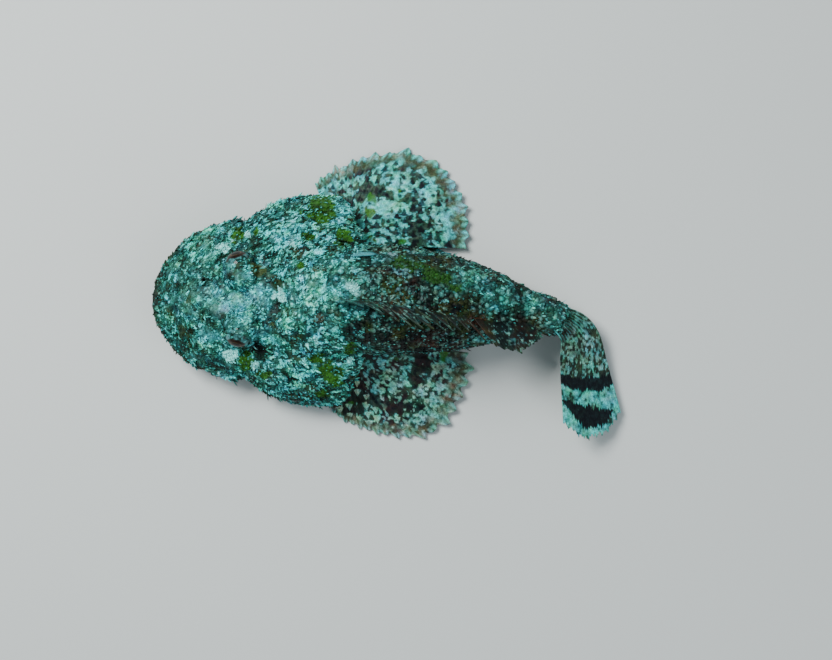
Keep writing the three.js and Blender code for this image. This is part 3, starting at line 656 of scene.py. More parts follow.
def markings(points, s, y, z):
    """The fish's colour at points of its skin, with painted shadows beside its pale flakes and painted shade
    along the head's lower rim, and how crowded the pale flakes are there.
    """
    wander = np.stack([rough_noise(points, 7, seed, 2) for seed in (3, 4)], -1) * 1.6
    ws, wy = s + wander[:, 0], y + wander[:, 1]
    upper = smoothstep(z, 5, 15)
    cloud = rough_noise(points, 12, 21, 2)
    mottle = rough_noise(points, 4.2, 25, 2)
    speck = soft_noise(points, 1.5, 29)
    brow = mound(s - 48, 15) * mound(y, 15)
    pale = patches(ws, wy, PALE_PATCHES) * upper
    # dark marks, and painted shade along the head's lower rim
    dark = patches(ws, wy, DARK_AND_SHADE_PATCHES) * upper
    green = crisp_patches(points, ws, wy, GREEN_PATCHES, 131, 0.3) * upper
    lips = smoothstep(4 - np.abs(z - mouth_height(s)), 0, 2.4) * (s < 46)
    rear = smoothstep(s, 104, 124)
    fine = (0.18 * mottle + 0.12 * speck) * (1 - 0.4 * brow)
    tone = head_to_tail(s) + 0.17 * cloud + (0.24 + 0.22 * rear) * pale - 0.4 * dark - 0.2 * lips + fine
    colour = ramp(tone, TONES)
    coarse = smoothstep(s, 44, 62) * (0.4 + 0.6 * smoothstep(np.abs(y), 10, 24)) * (1 - 0.6 * rear)
    earthy = smoothstep(rough_noise(points, 12, 33, 2), 0.15, 0.6) * rear * (1 - pale)
    colour = blend(colour, EARTH * 0.4, 0.45 * earthy)
    colour = blend(colour, ROSE, 0.62 * brow * (1 - dark) * smoothstep(mottle + cloud, -0.8, 0.4))
    mossy = smoothstep(rough_noise(points, 8, 55, 3), 0.2, 0.7) * (0.6 + 0.3 * rear) * (1 - 0.8 * brow)
    colour = blend(colour, OLIVE * 0.7, mossy * (1 - pale))
    colour = blend(colour, OLIVE * 0.6, 0.6 * lips * smoothstep(cloud, -0.5, 0.3))
    clump = rough_noise(points, 6, 65, 2)
    crowd = 0.03 + 0.2 * tone + 0.14 * coarse + 0.16 * clump - 0.06 * lips - 0.05 * brow - 0.2 * dark
    crowd = np.clip(crowd, 0.02, 0.6)
    shade = 0.6 + 0.4 * coarse
    # painted shadow: a dark copy of the pale flakes, shifted to one side of each flake
    colour = blend(colour, INK, 0.85 * shade * flakes(points + FLAKE_SHADOW, FLAKE_SIZE, 71, crowd))
    colour = blend(colour, INK, 0.75 * shade * flakes(points, 1.8, 75, 0.24 - 0.12 * tone))
    glow = tone + 0.12 * coarse + 0.4 * speck
    light = ramp(glow, ((0.1, TEAL * 1.3), (0.45, HAZE), (0.8, MINT), (1.4, CHALK)))
    light = blend(light, PEARL * 0.8, 0.7 * rear * (1 - pale))
    colour = blend(colour, light, 0.95 * flakes(points, FLAKE_SIZE, 71, crowd * (1 - 0.5 * rear)))
    colour = blend(colour, light, 0.85 * flakes(points, 1.2, 81, 0.09 + (0.5 + 0.4 * rear) * crowd))
    colour = stained(points, colour, 91)
    brown = crisp_patches(points, ws, wy, BROWN_PATCHES, 141, 0.3) * upper
    colour = blend(colour, lerp(OLIVE, EARTH * 0.7, smoothstep(s, 60, 110)[:, None]), 0.7 * brown)
    leafy = lerp(LEAF, MOSS, rear[:, None]) * (0.8 + 0.5 * mottle + 0.3 * speck)[:, None]
    colour = blend(colour, leafy, green * (1 - 0.8 * flakes(points, 2.0, 151, 0.07)))
    chalk = crisp_patches(points, ws, wy, CHALK_PATCHES, 121, 0.4) * upper
    colour = blend(colour, CHALK * (0.85 + 0.3 * speck)[:, None], 0.92 * chalk)
    belly = smoothstep(-z, -9, -2) * (np.abs(y) < half_width(s) + 8)
    colour = blend(colour, linear(120, 150, 138), 0.4 * belly)
    return colour, crowd * (1 - green)


def skin_paint(points):
    return markings(points, *unplace(points))[0]


def coat_tips(own, sparkle):
    """Colours for the tips of grains: a little lighter than their root, and bright on a share of them."""
    count = len(own)
    tips = own * rng.uniform(0.9, 1.35, count)[:, None]
    return blend(tips, MINT, (rng.random(count) < sparkle) * rng.uniform(0.4, 0.9, count))


# Finishes


def feed(material, node, inputs):
    """Sets a node's inputs to values, or links them from other nodes' outputs."""
    for name, value in inputs.items():
        if isinstance(value, bpy.types.NodeSocket):
            material.node_tree.links.new(value, node.inputs[name])
        else:
            node.inputs[name].default_value = value


def add_node(material, kind, inputs, output, **settings):
    """An output of a new node with some settings and inputs."""
    node = material.node_tree.nodes.new("ShaderNode" + kind)
    for name, value in settings.items():
        setattr(node, name, value)
    feed(material, node, inputs)
    return node.outputs[output]


def add_flecks(material, where, colour):
    """Pale spots about a millimetre apart over a colour, as crowded as the stored share says."""
    share = add_node(material, "Attribute", {}, "Fac", attribute_name="crowd")
    spots = add_node(material, "TexVoronoi", {"Scale": 900, "Vector": where}, "Distance").node.outputs
    near = {"Value": spots["Distance"], "From Min": 0.42, "From Max": 0.2}
    inside = add_node(material, "MapRange", near, "Result")
    draw = add_node(material, "SeparateColor", {"Color": spots["Color"]}, "Red")
    chosen = add_node(material, "Math", {0: draw, 1: share}, "Value", operation="LESS_THAN")
    amount = add_node(material, "Math", {0: inside, 1: chosen}, "Value", operation="MULTIPLY")
    mixed = {"A": colour, "B": (*MINT, 1), "Factor": amount}
    return add_node(material, "Mix", mixed, "Result", data_type="RGBA")


def coat_material(name, roughness, bump_size, bump_height, flecked=False, shine=None):
    """A finish that shows the stored paint, broken up by fine grain and, where asked, by pale flecks."""
    material, shader = new_material(name)
    where = add_node(material, "TexCoord", {}, "Object")
    noise = add_node(material, "TexNoise", {"Scale": bump_size, "Detail": 4, "Vector": where}, "Fac")
    colour = add_node(material, "Attribute", {}, "Color", attribute_name="paint")
    if flecked:
        colour = add_flecks(material, where, colour)
    grain = {"Value": noise, "From Min": 0.3, "From Max": 0.7, "To Min": 0.45, "To Max": 1.45}
    shade = add_node(material, "MapRange", grain, "Result")
    scaled = add_node(material, "VectorMath", {0: colour, "Scale": shade}, "Vector", operation="SCALE")
    bump = add_node(material, "Bump", {"Strength": 0.6, "Distance": bump_height, "Height": noise}, "Normal")
    feed(material, shader, {"Base Color": scaled, "Normal": bump, "Roughness": roughness})
    feed(material, shader, {"Specular IOR Level": 0.15, **(shine or {})})
    return material


skin_material = coat_material("skin", 0.55, 1300, 0.0003, flecked=True)
fin_material = coat_material("fin", 0.5, 1700, 0.0002)
eye_shine = {"Coat Weight": 0.08, "Coat Roughness": 0.03}
eye_material = coat_material("eye", 0.06, 900, 0.00001, shine=eye_shine)


def dress(thing, material, slot, *nodes):
    """Gives a piece its finish, ties it to the part and lets it stand in for nodes of it."""
    thing.data.materials.clear()
    thing.data.materials.append(material)
    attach(thing, "root")
    if nodes:
        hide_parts(*nodes)


# The skin: the solids of the flesh, fused and remeshed, then roughened


def body_piece():
    ring_s = np.concatenate([
        NOSE_LENGTH * (1 - np.cos(np.linspace(0.02, 1, 40) * math.pi / 2)),
        np.linspace(NOSE_LENGTH, STANDARD_LENGTH, 240)[1:],
    ])
    ring_angle = np.linspace(0, TAU, 220, endpoint=False)
    s, angle = np.meshgrid(ring_s, ring_angle, indexing="ij")
    y, z = section_point(s, angle, -SKIN_INSET)
    return capped_tube("body", place(s, y, np.maximum(z, 0.05)))


def cover_side(s, z, part):
    """How far out a gill cover stands at a share of its height."""
    return side_at(s, z) + COVER_LIFT + gill_bulge(s) * (1 - part**1.6)


def cover_piece(side):
    s = np.linspace(COVER_SPAN[0], COVER_SPAN[1] - SKIN_INSET, 100)[:, None]
    part = np.linspace(0, 1, 60)
    z = lerp(gill_low_edge(s) + SKIN_INSET, gill_high_edge(s) - SKIN_INSET, part)
    rounding = 1.2 * np.abs(2 * part - 1) ** 6
    outer = cover_side(s, z, part) - rounding - SKIN_INSET
    inner = outer - gill_thickness(s) + 2 * rounding + 2 * SKIN_INSET
    rings = [place(s, side * outer, z), place(s, side * inner, z)[:, ::-1]]
    return capped_tube("cover", np.concatenate(rings, 1))


def roof_place(side, s, y):
    return place(s, side * y, roof_at(s, y))


def flank_place(side, s, z):
    return place(s, side * side_at(s, z), z)


def cover_place(side, s, z):
    part = np.clip((z - gill_low_edge(s)) / (gill_high_edge(s) - gill_low_edge(s)), 0, 1)
    return place(s, side * cover_side(s, z, part), z)


def eye_frame(side):
    """An eye's centre and the way it looks."""
    centre = place(EYE_AT[0], side * EYE_AT[1], EYE_AT[2])
    return centre, EYE_LOOK * np.array([1, side, 1])


def nostril_at(side):
    """A nostril's place and the way it opens."""
    return roof_place(side, *NOSTRIL), np.array([-0.35, side * 0.3, 1])


def jaw_bone(side):
    s = 37.0
    steps = ((-8, 3.6), (0, 4.2), (8, 4.6))
    front, centre, back = (flank_place(side, s + step, mouth_height(s + step) + rise) for step, rise in steps)
    return ball("jaw_bone", centre, back - front, (1.9, 3.6, 10.6))


def head_pieces(side):
    centre, look = eye_frame(side)
    dome = EYE_DOME_RADIUS - SKIN_INSET
    at, up = nostril_at(side)
    return [
        ball("dome", centre - look * EYE_DOME_INSET, look, (dome,) * 3),
        ring_tube("rim", centre + look * EYE_RADIUS * 0.47, look, EYE_RADIUS * 0.9, 1.15),
        ring_tube("nostril", at + up * 0.9, up, 1.35, 0.6),
        jaw_bone(side),
    ]


def lip(above):
    part = np.linspace(-1, 1, 160)
    s = 0.6 + (MOUTH_CORNER[0] - 3) * np.abs(part) ** 1.7
    z = mouth_height(s) + above * 1.5
    path = place(s, np.sign(part) * (side_at(s, z) - 0.6), z)
    return path_tube("lip", path, lerp(1.6, 1.0, np.abs(part) ** 3))


def fin_roots():
    """Fleshy ridges where the fins leave the body."""
    part = np.linspace(0, 1, 120)
    paths = []
    for side in (-1, 1):
        s, z = lerp(*PECTORAL_ROOT_S, part), lerp(*PECTORAL_ROOT_Z, part)
        paths.append((place(s, side * (side_at(s, z) - 1.6), z, rolled=False), 3.2))
        s, y = lerp(*PELVIC_ROOT_S, part), side * lerp(*PELVIC_ROOT_Y, part)
        paths.append((place(s, y, PELVIC_ROOT_Z, rolled=False), 2.2))
    s = lerp(SPINY_ROOT_S[0] - 2, SOFT_ROOT_S[1] + 2, part)
    paths.append((place(s, 0, back_height(s) - 1.7), 2.4))
    s = lerp(ANAL_ROOT_S[0] - 1, ANAL_ROOT_S[1] + 1, part)
    paths.append((place(s, 0, belly_height(s) + 1.2), 2.0))
    off = part * 2 - 1
    s = STANDARD_LENGTH + 1.5 * np.abs(off)
    paths.append((place(s, 0, roll_height(STANDARD_LENGTH) + off * 9.0), 2.6))
    return [path_tube("fin_root", path, radius) for path, radius in paths]


def build_skin():
    pieces = [body_piece(), *fin_roots(), lip(1), lip(-1)]
    cutters = []
    for side in (-1, 1):
        pieces += [cover_piece(side), *head_pieces(side)]
        centre, look = eye_frame(side)
        at, up = nostril_at(side)
        cutters.append(ball("socket", centre, look, (EYE_RADIUS + 0.12,) * 3))
        cutters.append(ball("pit", at + up * 0.8, up, (1.0, 1.0, 3.0), 24))
    skin = join(pieces)
    skin.name = "skin"
    apply_modifier(skin, "REMESH", mode="VOXEL", voxel_size=SKIN_VOXEL * MM, adaptivity=0.0)
    cutter = join(cutters)
    apply_modifier(skin, "BOOLEAN", operation="DIFFERENCE", object=cutter, solver="EXACT")
    bpy.data.objects.remove(cutter)
    apply_modifier(skin, "REMESH", mode="VOXEL", voxel_size=SKIN_VOXEL * MM, adaptivity=0.0)
    apply_modifier(skin, "SMOOTH", factor=0.5, iterations=4)
    return skin


def nearest_of_both(points, spot):
    """Distance to the nearer of two places, one on each side."""
    return np.minimum(*(np.linalg.norm(points - spot(side), axis=1) for side in (-1, 1)))


def eye_opening(side):
    centre, look = eye_frame(side)
    return centre + look * 4


def eye_nearness(points):
    """1 near an eye's opening and 0 away from it."""
    return mound(nearest_of_both(points, eye_opening), 9.5)


def nostril_nearness(points):
    """1 in a nostril and 0 away from both."""
    return 1 - smoothstep(nearest_of_both(points, lambda side: nostril_at(side)[0]), 1.3, 2.0)


def roughen(skin, s, z, calm, crowd):
    """Lumps, warts and grain over the skin, calmer round the eyes, and the crease of the mouth."""
    points, normals = points_of(skin), normals_of(skin)
    lump = rough_noise(points, 7, 201, 2)
    wart_distance, wart_mark = cells(points, 4.2, 211)
    wart = smoothstep(0.62 - wart_distance, 0, 0.5) * (wart_mark > 0.45)
    flake = flakes(points, FLAKE_SIZE, 71, crowd)
    off_floor = smoothstep(z, 1.5, 6)
    crease = mound(np.abs(z - mouth_height(s)), 0.5) * (s < 46.5)
    push = (0.34 * lump + 0.5 * wart + 0.4 * flake) * (1 - 0.75 * calm) * off_floor - 0.6 * crease
    move_points(skin, points + normals * push[:, None])


skin = build_skin()
skin_points = points_of(skin)
skin_s, skin_y, skin_z = unplace(skin_points)
calm = eye_nearness(skin_points)
skin_colours, skin_crowd = markings(skin_points, skin_s, skin_y, skin_z)
nostril_shade = nostril_nearness(skin_points)
roughen(skin, skin_s, skin_z, calm, skin_crowd)
# painted shade: the nostril pits are painted black
paint(skin, blend(skin_colours, INK, nostril_shade))
crowd_store = skin.data.attributes.new("crowd", "FLOAT", "POINT")
crowd_store.data.foreach_set("value", (0.45 * skin_crowd * (1 - nostril_shade)).astype(np.float32))
dress(
    skin, skin_material, "skin",
    "head", "lower_jaw", "gill_cover_left", "gill_cover_right", "trunk_front", "trunk_rear", "tail_stalk",
)

# Fins: closed sheets whose rays stand out as ridges


def sheet(name, columns, rows, point_at, half_at):
    """A closed plate over a grid of (across, along), alike on both faces."""
    across, along = np.meshgrid(np.linspace(0, 1, columns), np.linspace(0, 1, rows), indexing="ij")
    middle = point_at(across, along)
    normal = unit(np.cross(np.gradient(middle, axis=0), np.gradient(middle, axis=1)))
    rise = normal * half_at(across, along)[..., None]
    points = np.concatenate([(middle + rise).reshape(-1, 3), (middle - rise).reshape(-1, 3)])
    under = columns * rows
    index = np.arange(under).reshape(columns, rows)
    front = np.stack([index[:-1, :-1], index[1:, :-1], index[1:, 1:], index[:-1, 1:]], -1).reshape(-1, 4)
    rim = np.concatenate([index[:-1, 0], index[-1, :-1], index[:0:-1, -1], index[0, :0:-1]])
    following = np.roll(rim, -1)
    edge = np.stack([rim, rim + under, following + under, following], -1)
    thing = new_object(name, points, front, front[:, ::-1] + under, edge)
    outwards(thing)
    return thing, points, *(np.concatenate([grid.ravel()] * 2) for grid in (across, along))


def off_ray(across, rays):
    """Which ray is nearest, and how far off it is, in gaps between rays."""
    phase = across * (rays - 1)
    return np.round(phase), np.abs(phase - np.round(phase))


def ridge(across, along, rays):
    """1 on a ray and 0 between two, with each ray forking towards its tip."""
    off = off_ray(across, rays)[1]
    fork = 0.2 * smoothstep(along, 0.42, 0.9)
    return mound(np.minimum(np.abs(off - fork), off + fork + 0.02), 0.13)


def line_noise(where, seed):
    """Smooth noise along a line, for places in an array of any shape."""
    line = np.stack([where, where * 0, where * 0], -1)
    return soft_noise(line.reshape(-1, 3), 1.0, seed).reshape(where.shape)


def margin(across, rays, notch, seed, ragged=0.01):
    """The reach of a fin's edge: full at some rays' tips, less at others and between, and a little torn."""
    ray, off = off_ray(across, rays)
    nothing = np.zeros_like(ray, int)
    own = lattice(ray.astype(int), nothing, nothing, seed) ** 0.7 * np.where(ray % 2 > 0, 1, 0.45)
    torn = ragged * line_noise(across * rays * 6, seed)
    return 1 - notch * (1 - (0.1 + 0.9 * own) * mound(off, 0.26)) + torn


def fin_half(rays):
    def half_at(across, along):
        joints = 0.88 + 0.12 * np.cos(along * 150)
        return 0.32 * (1 - 0.35 * along) + 0.26 * ridge(across, along, rays) * (1 - 0.55 * along) * joints
    return half_at


def add_fin(name, slot, node, rays, between, rows, point_at, colour_at, half_at=None):
    """A fin with a number of columns between two rays: its plate, its paint and its tie to a node."""
    plate = sheet(name, (rays - 1) * between + 1, rows, point_at, half_at or fin_half(rays))
    paint(plate[0], colour_at(*plate[1:]))
    dress(plate[0], fin_material, slot, node)


def corner_spots(points, pitch, size, seed):
    """Strength of three-cornered spots in staggered rows, seen from above, and each spot's random number."""
    column = points[:, 0] / pitch + 0.3 * soft_noise(points, 14, seed + 5)
    lane = np.round(column).astype(int)
    row = np.abs(points[:, 1]) / pitch + 0.5 * (lane % 2) + 0.2 * lattice(lane, lane * 0, lane * 0, seed)
    step = np.floor(row).astype(int)
    mark = lattice(lane, step, lane * 0, seed + 1)
    half = size * (0.7 + 0.6 * lattice(lane, step, lane * 0, seed + 2))
    out = (row - step - 0.5) * pitch
    aside = np.abs(column - lane + 0.2 * (second_draw(mark) - 0.5)) * pitch
    room = half * np.clip((half - out) / (1.7 * half), 0, 1) * smoothstep(out, -1.1 * half, -0.7 * half)
    return smoothstep(room - aside + 0.12 * soft_noise(points, 1.3, seed + 3), -0.1, 0.25), mark


def fan_paint(points, across, along, rays, seed, warm, pale, corners=0.3):
    """A fin like a fan: pale flakes and three-cornered spots, thinned out in an arc, with an olive edge.

    On a pale fin the three-cornered spots are dark.
    """
    wave = rough_noise(points, 12, seed, 2)
    patchy = rough_noise(points, 5, seed + 5, 2)
    x, y = points[:, 0], points[:, 1]
    patchy = patchy + patches(x, y, FIN_PALE_PATCHES) - patches(x, y, FIN_DARK_PATCHES)
    fine = rough_noise(points, 1.8, seed + 7, 2)
    bent = along + 0.035 * wave
    edge = smoothstep(bent, 0.84, 0.92)
    corners = np.maximum(edge * 0.6, corners)
    arc = mound(bent - 0.58, 0.07) * smoothstep(wave, -0.5, 0.1)
    arc *= 1 - 0.85 * (1 - pale) * mound(across - 0.67, 0.12)
    inner = 1 - smoothstep(along, 0.08, 0.3)
    tone = 0.45 + 0.25 * patchy + 0.3 * fine + 0.2 * pale
    colour = ramp(tone, ((0.0, NAVY), (0.4, DEEP), (0.75, lerp(TEAL, UMBER, 0.5)), (1.1, TEAL)))
    flushed = np.maximum(smoothstep(wave - 0.5 * patchy, -0.2, 0.5), 0.8 * corners)
    colour = blend(colour, lerp(MAROON, INK, 0.4), 0.8 * warm * flushed)
    bands = 0.24 * mound(bent - 0.78, 0.07) + 0.16 * mound(bent - 0.4, 0.1)
    crowd = 0.62 + bands - 0.9 * arc - 0.5 * inner * (1 - pale) - 0.25 * edge + 0.36 * patchy
    crowd = np.clip(crowd, 0.03, 0.97)
    glow = 0.45 + 0.12 * pale + 0.16 * patchy + 0.4 * fine
    light = ramp(glow, ((0.0, lerp(TEAL, UMBER, 0.4)), (0.4, HAZE * 0.8), (0.75, MINT * 0.85), (1.3, CHALK)))
    light = blend(light, PEARL * (0.8 + 0.5 * fine)[:, None], 0.8 * warm)
    ground_share = crowd * lerp(0.7, 1.0, pale) * (1 - 0.85 * corners)
    colour = blend(colour, light, 0.92 * flakes(points, lerp(1.5, 2.3, pale), seed + 9, ground_share))
    shape, mark = corner_spots(points, 4.9, 1.9, seed + 31)
    inked = 0.9 * pale * shape * (mark < 0.75 - 0.3 * patchy)
    colour = blend(colour, lerp(NAVY, MAROON, 0.5 * warm), inked)
    spotted = (mark < lerp(1.2 * crowd, 0.88, corners)) * corners * (0.8 + 0.2 * second_draw(mark))
    colour = blend(colour, lerp(light, CREAM, 0.8 * warm), shape * spotted)
    black_share = (0.1 + 0.2 * arc) * (1 - 0.7 * corners)
    colour = blend(colour, NAVY, 0.8 * flakes(points, lerp(1.6, 2.3, pale), seed + 13, black_share))
    brim = blend(np.tile(UMBER, (len(points), 1)), TAN, smoothstep(fine + patchy, -0.3, 0.5))
    colour = blend(colour, brim, 0.8 * edge * (1 - 0.5 * flakes(points, 2.4, seed + 17, 0.25)))
    moss = smoothstep(rough_noise(points, 8, seed + 21, 2), 0.62, 0.76) * (1 - edge)
    colour = blend(colour, LEAF, 0.9 * moss)
    tips = smoothstep(along, 0.93, 0.985) * ridge(across, along, rays)
    return stained(points, blend(colour, lerp(MINT, PEARL, warm), 0.75 * tips), seed + 41)


# Pectoral fins: each ray swings from the leading angle round to the trailing one. The rows are the side,
# the two angles, and how far the fin reaches at some angles between them.
FANS = {
    "right": (1, 122, -3, [(-3, 65), (16, 65), (38, 64), (57, 59.3), (73, 50), (93, 42.5), (122, 37)]),
    "left": (-1, 114, -8, [
        (-8, 72.5), (0, 73.5), (18, 71.5), (34, 67), (46, 57.6), (56, 49.6), (77, 38.2), (91, 34),
        (114, 28.2),
    ]),
}


def pectoral_at(side, lead, trail, reach):
    def point_at(across, along):
        along = along * margin(across, PECTORAL_RAYS, 0.075, 300 + side)
        angle = lerp(lead, trail, across)
        turn = np.radians(angle)
        root_s, root_z = lerp(*PECTORAL_ROOT_S, across), lerp(*PECTORAL_ROOT_Z, across)
        root_y = side_at(root_s, root_z) - ROOT_SINK
        tip_s = PECTORAL_CENTRE[0] + reach(angle) * np.cos(turn)
        tip_y = PECTORAL_CENTRE[1] + reach(angle) * np.sin(turn)
        left = np.maximum(1 - along, 0)
        pleat = np.maximum(0.7 * np.sin(across * 17 + 1) * along, -0.3) * (1 - along * (1 - across))
        billow = 0.35 * np.cos(across * (PECTORAL_RAYS - 1) * TAU) * along * (1 - 0.4 * along)
        z = lerp(root_z, lerp(1.1, 5, across**2), 1 - left**1.6) + pleat + billow
        out = lerp(root_y, tip_y, lerp(along, 1 - left**1.35, 0.55 * across))
        return place(lerp(root_s, tip_s, along), side * out, np.maximum(z, 0.75), rolled=False)
    return point_at


def pale_fan_paint(points, across, along):
    return fan_paint(points, across, along, PECTORAL_RAYS, 410, 0.1, 1.0, 0)


def dark_fan_paint(points, across, along):
    corners = 1 - smoothstep(across, 0.36, 0.6)
    return fan_paint(points, across, along, PECTORAL_RAYS, 210, 0.9, 0.2, corners)


for name, (side, lead, trail, reach) in FANS.items():
    point_at = pectoral_at(side, lead, trail, profile(reach))
    colour_at = pale_fan_paint if side > 0 else dark_fan_paint
    add_fin(
        f"pectoral_{name}", "pale_fin", f"pectoral_fin_{name}", PECTORAL_RAYS, 12, 120, point_at, colour_at,
    )

# Pelvic fins, flat on the floor under the belly
pelvic_reach = profile([(0, 38), (0.3, 52), (0.55, 52), (0.8, 46), (1, 36)])


def pelvic_at(side):
    def point_at(across, along):
        along = along * margin(across, PELVIC_RAYS, 0.1, 350 + side)
        turn = np.radians(lerp(32, 4, across))
        reach = along * pelvic_reach(across)
        s = lerp(*PELVIC_ROOT_S, across) + reach * np.cos(turn)
        y = lerp(*PELVIC_ROOT_Y, across) + reach * np.sin(turn)
        return place(s, side * y, lerp(PELVIC_ROOT_Z, 1.05, smoothstep(along, 0, 0.3)), rolled=False)
    return point_at


for name, side in SIDES.items():
    colour_at = partial(fan_paint, rays=PELVIC_RAYS, seed=360 + side, warm=0.3, pale=0.6)
    add_fin(
        f"pelvic_{name}", "pale_fin", f"pelvic_fin_{name}", PELVIC_RAYS, 14, 80, pelvic_at(side), colour_at,
    )

# The fins of the back: spines in front and soft rays behind, folded back and to the left
spine_length = profile([
    (0, 14), (0.1, 21), (0.2, 27), (0.3, 28.5), (0.5, 26), (0.75, 20), (0.92, 14), (1, 18),
])
soft_length = profile([(0, 20), (0.3, 23), (0.7, 19), (1, 12)])


def dorsal_at(s, along, length, back, side):
    rise = -ROOT_SINK + along * (length + ROOT_SINK)
    back, side = np.radians(back), np.radians(side)
    y = -np.maximum(rise, 0) * np.cos(back) * np.sin(side)
    return place(s + rise * np.sin(back), y, back_height(s) + rise * np.cos(back) * np.cos(side))


def spiny_reach(across):
    """The edge between two spines starts high behind the first and sags towards the second."""
    phase = across * (DORSAL_SPINES - 1)
    part = phase - np.floor(phase)
    sag = lerp(0.86, 0.52, smoothstep(part, 0.05, 0.85)) + 0.03 * line_noise(phase * 5, 401)
    return lerp(1.0, sag, smoothstep(np.minimum(part, 1 - part), 0.045, 0.1))


def spiny_at(across, along):
    along = along * spiny_reach(across)
    s = lerp(*SPINY_ROOT_S, across)
    return dorsal_at(s, along, spine_length(across), lerp(38, 52, across), lerp(14, 28, across))


def spiny_half(across, along):
    return 0.24 + 0.85 * mound(off_ray(across, DORSAL_SPINES)[1], 0.06) * (1 - 0.72 * along)


def soft_at(across, along):
    along = along * margin(across, DORSAL_RAYS, 0.12, 421)
    return dorsal_at(lerp(*SOFT_ROOT_S, across), along, soft_length(across), lerp(50, 60, across), 40)


def back_fin_paint(points, along, on_ray, seed):
    bars = smoothstep(np.sin(along * 15 + rough_noise(points, 8, seed, 2) * 1.6), -0.1, 0.7)
    colour = blend(skin_paint(points), INK, 0.4 * (1 - bars) + 0.32)
    colour = blend(colour, EARTH * 0.5, 0.25 * smoothstep(rough_noise(points, 6, seed + 3, 2), 0.2, 0.6))
    colour = blend(colour, PEARL * 0.7, 0.7 * flakes(points, 2.0, seed + 5, 0.08))
    return blend(colour, TAN * 0.5, 0.12 * on_ray * bars * smoothstep(along, 0.4, 0.9))


def spiny_paint(points, across, along):
    return back_fin_paint(points, along, mound(off_ray(across, DORSAL_SPINES)[1], 0.09), 411)


def soft_paint(points, across, along):
    return back_fin_paint(points, along, ridge(across, along, DORSAL_RAYS) * 0.7, 431)


add_fin("dorsal_spiny", "fin", "dorsal_fin_spiny", DORSAL_SPINES, 26, 60, spiny_at, spiny_paint, spiny_half)
add_fin("dorsal_soft", "fin", "dorsal_fin_soft", DORSAL_RAYS, 14, 56, soft_at, soft_paint)

# The anal fin, laid out to the right along the floor
anal_length = profile([(0, 15), (0.14, 27), (0.3, 25), (0.6, 23), (1, 13)])


def anal_at(across, along):
    along = along * margin(across, ANAL_RAYS, 0.12, 441)
    s = lerp(*ANAL_ROOT_S, across)
    length = anal_length(across)
    back = np.radians(lerp(24, 50, across))
    root = place(s, 0, belly_height(s) + ROOT_SINK)
    tip = place(s + length * np.sin(back), 0.75 * length * np.cos(back), 1.1, rolled=False)
    points = lerp(root, tip, along[..., None])
    points[..., 2] = lerp(root[..., 2], tip[..., 2], 1 - np.maximum(1 - along, 0) ** 2.2)
    return points


anal_paint = partial(fan_paint, rays=ANAL_RAYS, seed=450, warm=0.5, pale=0.3)
add_fin("anal", "fin", "anal_fin", ANAL_RAYS, 12, 50, anal_at, anal_paint)

# The tail fin: a pale net near its root, then two black bars with a pale one between


def tail_at(across, along):
    along = along * margin(across, TAIL_RAYS, 0.035, 461, 0.02)
    off = across * 2 - 1
    reach = TAIL_FIN_LENGTH * (1 - TAIL_ROUNDING * off * off)
    s = TAIL_ROOT + along * (reach + 4)
    spread = lerp(TAIL_ROOT_HALF, TAIL_TIP_HALF, along**0.8)
    ripple = 0.9 * np.sin(along * 5 + off * 3) * along
    return place(s, ripple, roll_height(s) + off * spread)


def tail_paint(points, across, along):
    wave = rough_noise(points, 5, 471, 3)
    fine = rough_noise(points, 1.8, 485, 2)
    rays = ridge(across, along, TAIL_RAYS)
    off = across * 2 - 1
    bent = along - 0.065 * off * off + 0.04 * off + 0.012 * wave + 0.012 * rays
    net = flakes(points * [1, 1, 1.3], 1.5, 481, 0.5)
    colour = ramp(0.3 + 0.3 * fine, ((0, INK), (0.4, lerp(DEEP, UMBER, 0.3)), (0.8, lerp(TEAL, UMBER, 0.5))))
    glow = 0.5 + 0.5 * fine + 0.3 * wave
    low, middle, high = lerp(TEAL, TAN, 0.4), lerp(TAN, HAZE, 0.5), lerp(MINT, PEARL, 0.5)
    light = ramp(glow, ((0, low), (0.5, middle), (1.1, high)))
    colour = blend(colour, light, 0.85 * net)
    near_root = 1 - smoothstep(along, 0.1, 0.3)
    colour = blend(colour, lerp(DEEP, HAZE, rays[:, None]), 0.7 * near_root * smoothstep(wave, -0.6, 0.2))
    tilted = bent - 0.05 * off * off + 0.05 * off
    first_end = smoothstep(bent, 0.65, 0.665)
    second_start = smoothstep(tilted, 0.768, 0.783)
    second_end = smoothstep(bent + 0.165 * off * off, 0.945, 0.96)
    banded = ramp(0.5 + 0.6 * fine + 0.3 * wave, ((0, DEEP), (0.4, HAZE * 0.9), (1.2, MINT)))
    colour = blend(colour, banded, 0.9 * (first_end * (1 - second_start) + second_end))
    bars = np.maximum(smoothstep(bent, 0.55, 0.565) * (1 - first_end), second_start * (1 - second_end))
    black = bars * (1 - 0.7 * flecks(points, 2.4, 491, 0.04))
    return blend(stained(points, colour, 495), NAVY * 0.8, black * 0.97)


add_fin("tail", "fin", "tail_fin", TAIL_RAYS, 12, 140, tail_at, tail_paint)

# Eyes: a dark pupil in a brown ring, in a ball that is mottled like the skin


